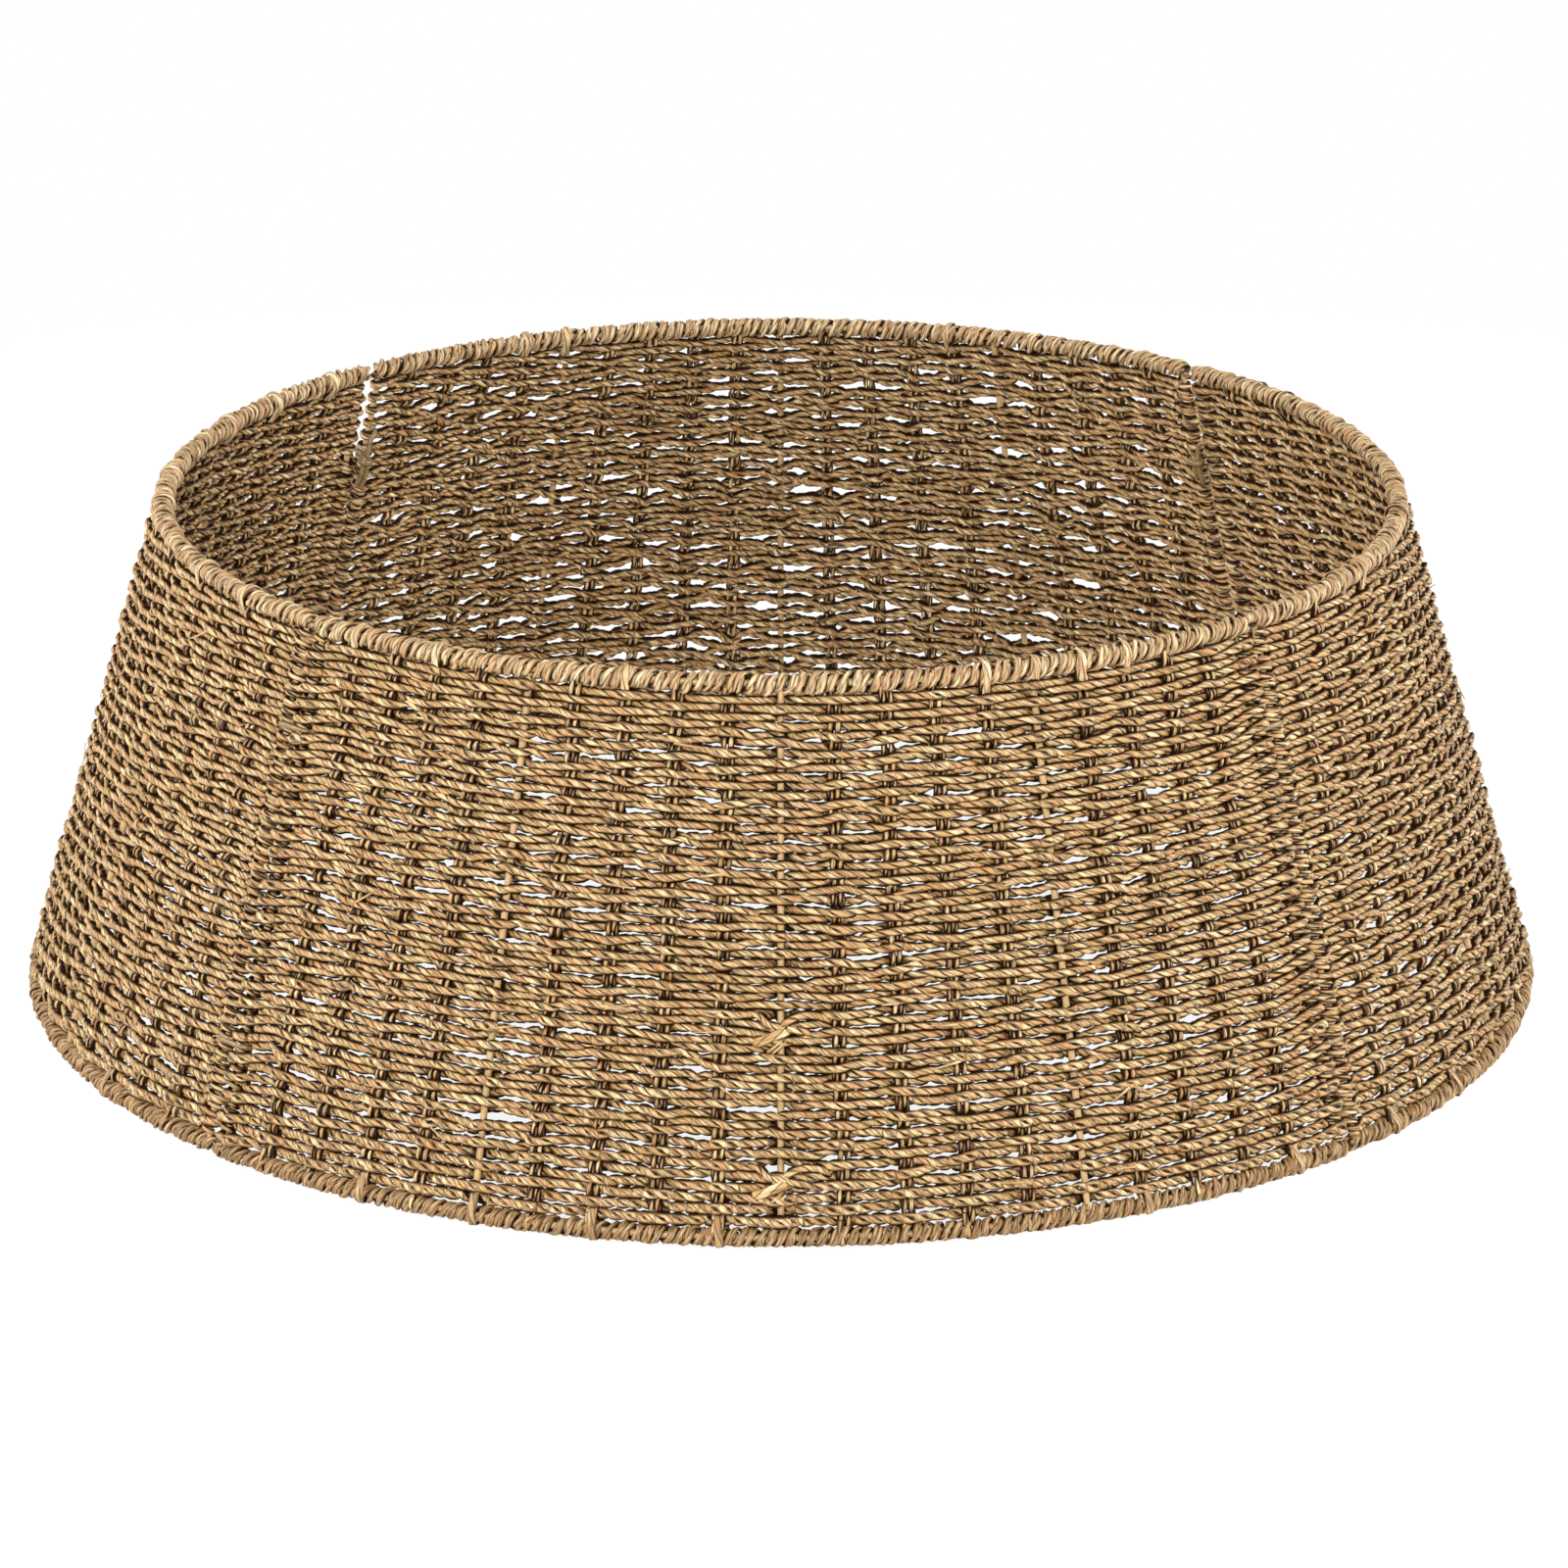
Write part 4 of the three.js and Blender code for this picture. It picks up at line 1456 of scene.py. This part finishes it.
@dataclass(frozen=True)
class SeamTie:
    """Cord lashed round the posts of a seam, hitched inside the collar, with two short tails.

    One end comes down to the hitch from higher up, where it passes through the weave.
    """

    cone: Cone
    cord_radius: float
    loop_radius: float
    knot_inset: float
    levels: dict[Level, float]
    tail_spread: float = 1.7 * MM
    lead_reach: float = 9 * MM
    band_breadth: float = 3.1 * MM
    band_depth: float = 2.3 * MM
    band_turns: float = 1.3
    band_stops: int = 10
    turn_stops: int = 7
    short_tail: float = 0.8
    bend_start: float = 1.5 * MM
    step: float = 0.7 * MM
    section: Section = Section(8)

    def to_frame(self, stops: Points, seam: Seam, quarter: int, up: float) -> Points:
        """Moves points from a seam's own frame to the collar's.

        Args:
            stops: points as distance along the rim to the neighbour, towards the inside and up the slant.
            seam: the seam.
            quarter: number of the seam from the front right one.
            up: level of the tie up the slant.

        Returns:
            The points in the collar's frame.
        """
        edge = math.pi / len(Panel)
        axes = np.stack([seam.end.value * along(edge), -self.cone.off_wall(edge), self.cone.upslope(edge)])
        return Panel(quarter).turned(self.cone.place(edge, up) + stops @ axes)

    def turn_round(self, post: float, first: float, last: float) -> Points:
        """Stops of the cord round a post, between two angles in degrees."""
        turn = np.radians(np.linspace(first, last, self.turn_stops))
        across, inside = self.loop_radius * np.cos(turn), self.loop_radius * np.sin(turn)
        return np.stack([post + across, inside, 0 * turn], axis=1)

    def tail(self, side: int, length: float) -> Points:
        """Stops of a tail from its tip up to the hitch."""
        inset, spread = self.knot_inset, side * self.tail_spread
        return np.array([
            (spread + 0.4 * MM, inset - 0.8 * MM, -length),
            (spread, inset + 0.4 * MM, -length / 2),
            (side * self.cord_radius, inset + 0.2 * MM, -3 * MM),
            (side * self.cord_radius, inset - 0.2 * MM, 1 * MM),
        ])

    def lashing(self, seam: Seam) -> Points:
        """Stops of the cord round the posts, from the tip of its tail, in the seam's own frame."""
        post = self.cone.post_offset
        if seam.neighbour:
            turns = [self.turn_round(post, 90, -90), self.turn_round(-post, 270, 90)]
        else:
            turns = [self.turn_round(-post, 20, -250)]
        return np.concatenate([self.tail(1, self.short_tail * seam.tail_length), *turns])

    def hitch(self, seam: Seam) -> list[Points]:
        """Stops of the lead with its tail and of the hitch's band, in the seam's own frame."""
        inset, high, reach = self.knot_inset, seam.lead_height, self.lead_reach
        lead = np.array([
            (-self.cord_radius, inset - 0.6 * MM, high * 0.3),
            (-1.6 * self.cord_radius, inset - 1.2 * MM, high * 0.7),
            (-0.35 * reach, inset - 1.8 * MM, high * 0.95),
            (-0.7 * reach, inset - 3.4 * MM, high * 1.06),
            (-reach, 0.5 * MM, high * 1.09),
        ])
        turn = np.linspace(0, FULL_TURN * self.band_turns, round(self.band_stops * self.band_turns))
        band = np.stack([self.band_breadth * np.cos(turn), inset + self.band_depth * np.sin(turn),
                         0.5 * MM * np.cos(turn) - 0.4 * MM * turn / FULL_TURN], axis=1)
        return [np.concatenate([self.tail(-1, seam.tail_length), lead]), band]

    def bend(self, seam: Seam, quarter: int, up: float) -> Bend | None:
        """The bend of a lashing, from beside its hitch to the neighbour's post, if there is one."""
        if not seam.neighbour:
            return None
        ends = np.array([(self.bend_start, 0, 0), (self.cone.post_offset, 0, 0)])
        return Bend(seam.neighbour, *self.to_frame(ends, seam, quarter, up))

    def cord(self, path: Points) -> Strand:
        """Makes a round cord along a path, without twisting it."""
        ahead = tangents_along(path)
        first = unit(np.cross(ahead, np.roll(ahead, 1, axis=1)))
        for place in range(1, len(path)):
            first[place] = square_to(first[place - 1], ahead[place])
        return Strand(path, first * self.cord_radius, np.cross(ahead, first) * self.cord_radius)

    def build(self, seam: Seam, quarter: int, finish: bpy.types.Material) -> None:
        """Builds the ties of one seam, numbered from the front right one."""
        for level, up in self.levels.items():
            name = f"{seam.name}_{level.value}"
            parts = {"hitch": (self.hitch(seam), None),
                     "lashing": ([self.lashing(seam)], self.bend(seam, quarter, up))}
            for part, (strands, bend) in parts.items():
                mesh = StrandMesh(first_run=quarter)
                for stops in strands:
                    path = smooth_path(self.to_frame(stops, seam, quarter, up), self.step)
                    mesh.sweep(self.cord(path), self.section)
                piece = mesh.build(f"{name}_{part}", finish, Panel.FRONT)
                hand_over(piece, seam.body, f"{name}_tie", bend)


@dataclass(frozen=True)
class SoftLamp:
    """A square soft lamp: its name, its place and size in metres, and its power in watts."""

    name: str
    place: tuple[float, float, float]
    size: float
    power: float


@dataclass(frozen=True)
class Studio:
    """White floor, soft lamps and the camera of the photograph."""

    aim_level: float = 83.7 * MM
    aim_across: float = 1.5 * MM
    turn_level: float = 115 * MM
    distance: float = 3.04
    elevation: float = math.radians(18.7)
    focal_pixels: float = 6714.0
    image_pixels: float = 1600.0
    sensor_mm: float = 36.0
    floor_size: float = 14.0
    sky_light: float = 0.45
    floor_colour: str = "#f4f3f0"
    shadow_share: float = 0.15
    shadow_reach: float = 1.2
    sight: float = 60.0
    lamps: tuple[SoftLamp, ...] = (
        SoftLamp("key_lamp", (-0.5, -5.0, 2.55), 1.5, 350.0),
        SoftLamp("right_lamp", (4.6, 0.3, 2.75), 1.6, 255.0),
        SoftLamp("left_lamp", (-4.6, 0.3, 2.6), 1.6, 215.0),
    )

    def camera(self) -> None:
        """Sets the camera at the photograph's place."""
        data = bpy.data.cameras.new("camera")
        data.sensor_width = self.sensor_mm
        data.lens = self.sensor_mm * self.focal_pixels / self.image_pixels
        data.clip_end = self.sight
        camera = bpy.data.objects.new("camera", data)
        back = Vector((0, -math.cos(self.elevation), math.sin(self.elevation)))
        camera.location = Vector((0, 0, self.turn_level)) + back * self.distance
        aim = Vector((self.aim_across, 0, self.aim_level))
        camera.rotation_euler = (aim - camera.location).to_track_quat("-Z", "Y").to_euler()
        bpy.context.scene.collection.objects.link(camera)
        bpy.context.scene.camera = camera

    def light(self, lamp: SoftLamp) -> None:
        """Adds a lamp that faces the collar."""
        data = bpy.data.lights.new(lamp.name, "AREA")
        data.shape, data.size, data.energy = "SQUARE", lamp.size, lamp.power
        stand = bpy.data.objects.new(lamp.name, data)
        stand.location = lamp.place
        aim = Vector((0, 0, self.turn_level)) - stand.location
        stand.rotation_euler = aim.to_track_quat("-Z", "Y").to_euler()
        bpy.context.scene.collection.objects.link(stand)

    def seen(self, tree: bpy.types.NodeTree) -> bpy.types.NodeSocket:
        """Socket that is 1 where the camera sees a backdrop, and 0 where it lights the collar."""
        return add_node(tree, "LightPath").outputs["Is Camera Ray"]

    def floor(self) -> None:
        """Lays the floor, matt white card that keeps a faint shadow."""
        mesh = bpy.data.meshes.new("studio_floor")
        half = self.floor_size / 2
        corners = [(-half, -half, 0), (half, -half, 0), (half, half, 0), (-half, half, 0)]
        mesh.from_pydata(corners, [], [(0, 1, 2, 3)])
        made = bpy.data.materials.new("matt_white_card")
        made.use_nodes = True
        tree = made.node_tree
        tree.nodes.clear()
        node = partial(add_node, tree)
        place = node("TexCoord").outputs["Object"]
        off = node("VectorMath", {0: place}, operation="LENGTH").outputs["Value"]
        share = node("MapRange", {0: off, 1: self.shadow_reach / 2, 2: self.shadow_reach,
                                  3: 1 - self.shadow_share, 4: 1.0})
        card = node("BsdfDiffuse", {"Color": linear(self.floor_colour)})
        glow = node("Emission", {"Color": (1, 1, 1, 1), "Strength": 1.0})
        shown = node("MixShader", {0: share, 1: card, 2: glow})
        mixed = node("MixShader", {0: self.seen(tree), 1: card, 2: shown})
        node("OutputMaterial", {"Surface": mixed})
        mesh.materials.append(made)
        floor = bpy.data.objects.new("studio_floor", mesh)
        bpy.context.scene.collection.objects.link(floor)

    def sky(self) -> None:
        """Lights the room evenly and shows it white."""
        world = bpy.data.worlds.new("studio")
        bpy.context.scene.world = world
        world.use_nodes = True
        tree = world.node_tree
        tree.nodes.clear()
        node = partial(add_node, tree)
        soft = node("Background", {"Color": (1, 1, 1, 1), "Strength": self.sky_light})
        white = node("Background", {"Color": (1, 1, 1, 1), "Strength": 1.0})
        mixed = node("MixShader", {0: self.seen(tree), 1: soft, 2: white})
        node("OutputWorld", {"Surface": mixed})

    def build(self) -> None:
        """Sets up the whole studio."""
        bpy.context.scene.view_settings.view_transform = "Standard"
        self.camera()
        self.floor()
        self.sky()
        for lamp in self.lamps:
            self.light(lamp)


def main() -> None:
    """Builds the collar piece by piece."""
    logging.basicConfig(level=logging.INFO, format="%(name)s %(message)s")
    Studio().build()
    wire_radius, rim_radius, floor_gap = 1.5 * MM, 5.0 * MM, 0.15 * MM
    cone = Cone.from_frame(wire_radius, post_offset=5.5 * MM)
    levels = {Level.LOWER: 46 * MM, Level.UPPER: 186 * MM}
    rope_section = Section(sides=9, blades=3, blade_depth=0.15, blade_run=8.2 * MM, lump_depth=0.12)
    wrap_section = Section(sides=8, blades=3, blade_depth=0.12, blade_run=11 * MM, lump_depth=0.1)
    grass = SeagrassFinish(
        "twisted_seagrass_rope", rope_section,
        straw="#e8cb97", tan="#b88b53", olive="#a79257", russet="#bb8152",
    ).material()
    whipped = {
        Rim.TOP: SeagrassFinish(
            "whipped_seagrass_rim", wrap_section,
            straw="#dcc498", tan="#b99163", olive="#a99566", russet="#b5865c",
        ).material(),
        # The foot is whipped with the same seagrass as the mouth; its darker colours are painted shade.
        Rim.BOTTOM: SeagrassFinish(
            "whipped_seagrass_foot_shaded", wrap_section,
            straw="#bb9a6c", tan="#967146", olive="#8a774b", russet="#966a43",
        ).material(),
    }
    coated_wire, waxed_cord = CoatedWireFinish().material(), WaxedCordFinish().material()
    rope = Rope(cone, ply_breadth=3.0 * MM, ply_thickness=2.3 * MM, lay_radius=0.96 * MM, lay_pitch=12.5 * MM,
                section=rope_section)
    # The uprights sit deeper in the wall, so their sides get more painted shade.
    leg = Rope(cone, ply_breadth=2.2 * MM, ply_thickness=1.8 * MM, lay_radius=0.8 * MM, lay_pitch=26 * MM,
               section=Section(6), open_depth=3.2 * MM, shut_depth=-0.2 * MM)
    wall = WovenWall(cone, rope, leg, rim_radius, tuple(levels.values()))
    # The three other walls were pulled tighter: their rows stand off less, with less painted shade at the
    # uprights.
    flatter_wall = replace(wall, rope=replace(rope, deepest=0.48), leg=replace(leg, deepest=0.5),
                           over_wire=2.8 * MM, over_grass=2.3 * MM)
    rim_binding = WhippedRim(cone, top_radius=4.9 * MM, bottom_radius=4.7 * MM, section=wrap_section)
    wires = WireFrame(cone, wire_radius)
    splice_rows = {"lower_splice": 4.5, "upper_splice": 20.5}
    front_splices = {name: wall.row_level(row) for name, row in splice_rows.items()}
    for panel in Panel:
        splices = front_splices if panel is Panel.FRONT else {}
        woven = wall if panel is Panel.FRONT else flatter_wall
        woven.weave(panel, tuple(splices.values()), grass)
        woven.stand(panel, grass, floor_gap)
        LooseBlades(woven).build(panel, grass)
        for name, level in splices.items():
            splice = Splice(cone, rope, level)
            splice.build(panel, f"{panel.body}_{name}", grass, np.random.default_rng(Seed.LOOSE_ENDS))
        for rim in Rim:
            rim_binding.whip(panel, rim, whipped[rim], floor_gap)
        wires.build(panel, coated_wire)
    tie = SeamTie(cone, cord_radius=1.25 * MM, loop_radius=3.05 * MM, knot_inset=7.3 * MM, levels=levels)
    seams = (
        Seam("front_right", "front", "right"),
        Seam("back_right", "right", "back", lead_height=9.5 * MM, tail_length=13 * MM),
        Seam("back_left", "back", lead_height=11 * MM, tail_length=16 * MM),
        Seam("front_left", "front", "left", Side.LEFT),
    )
    for quarter, seam in enumerate(seams):
        tie.build(seam, quarter, waxed_cord)


if __name__ == "__main__":
    main()
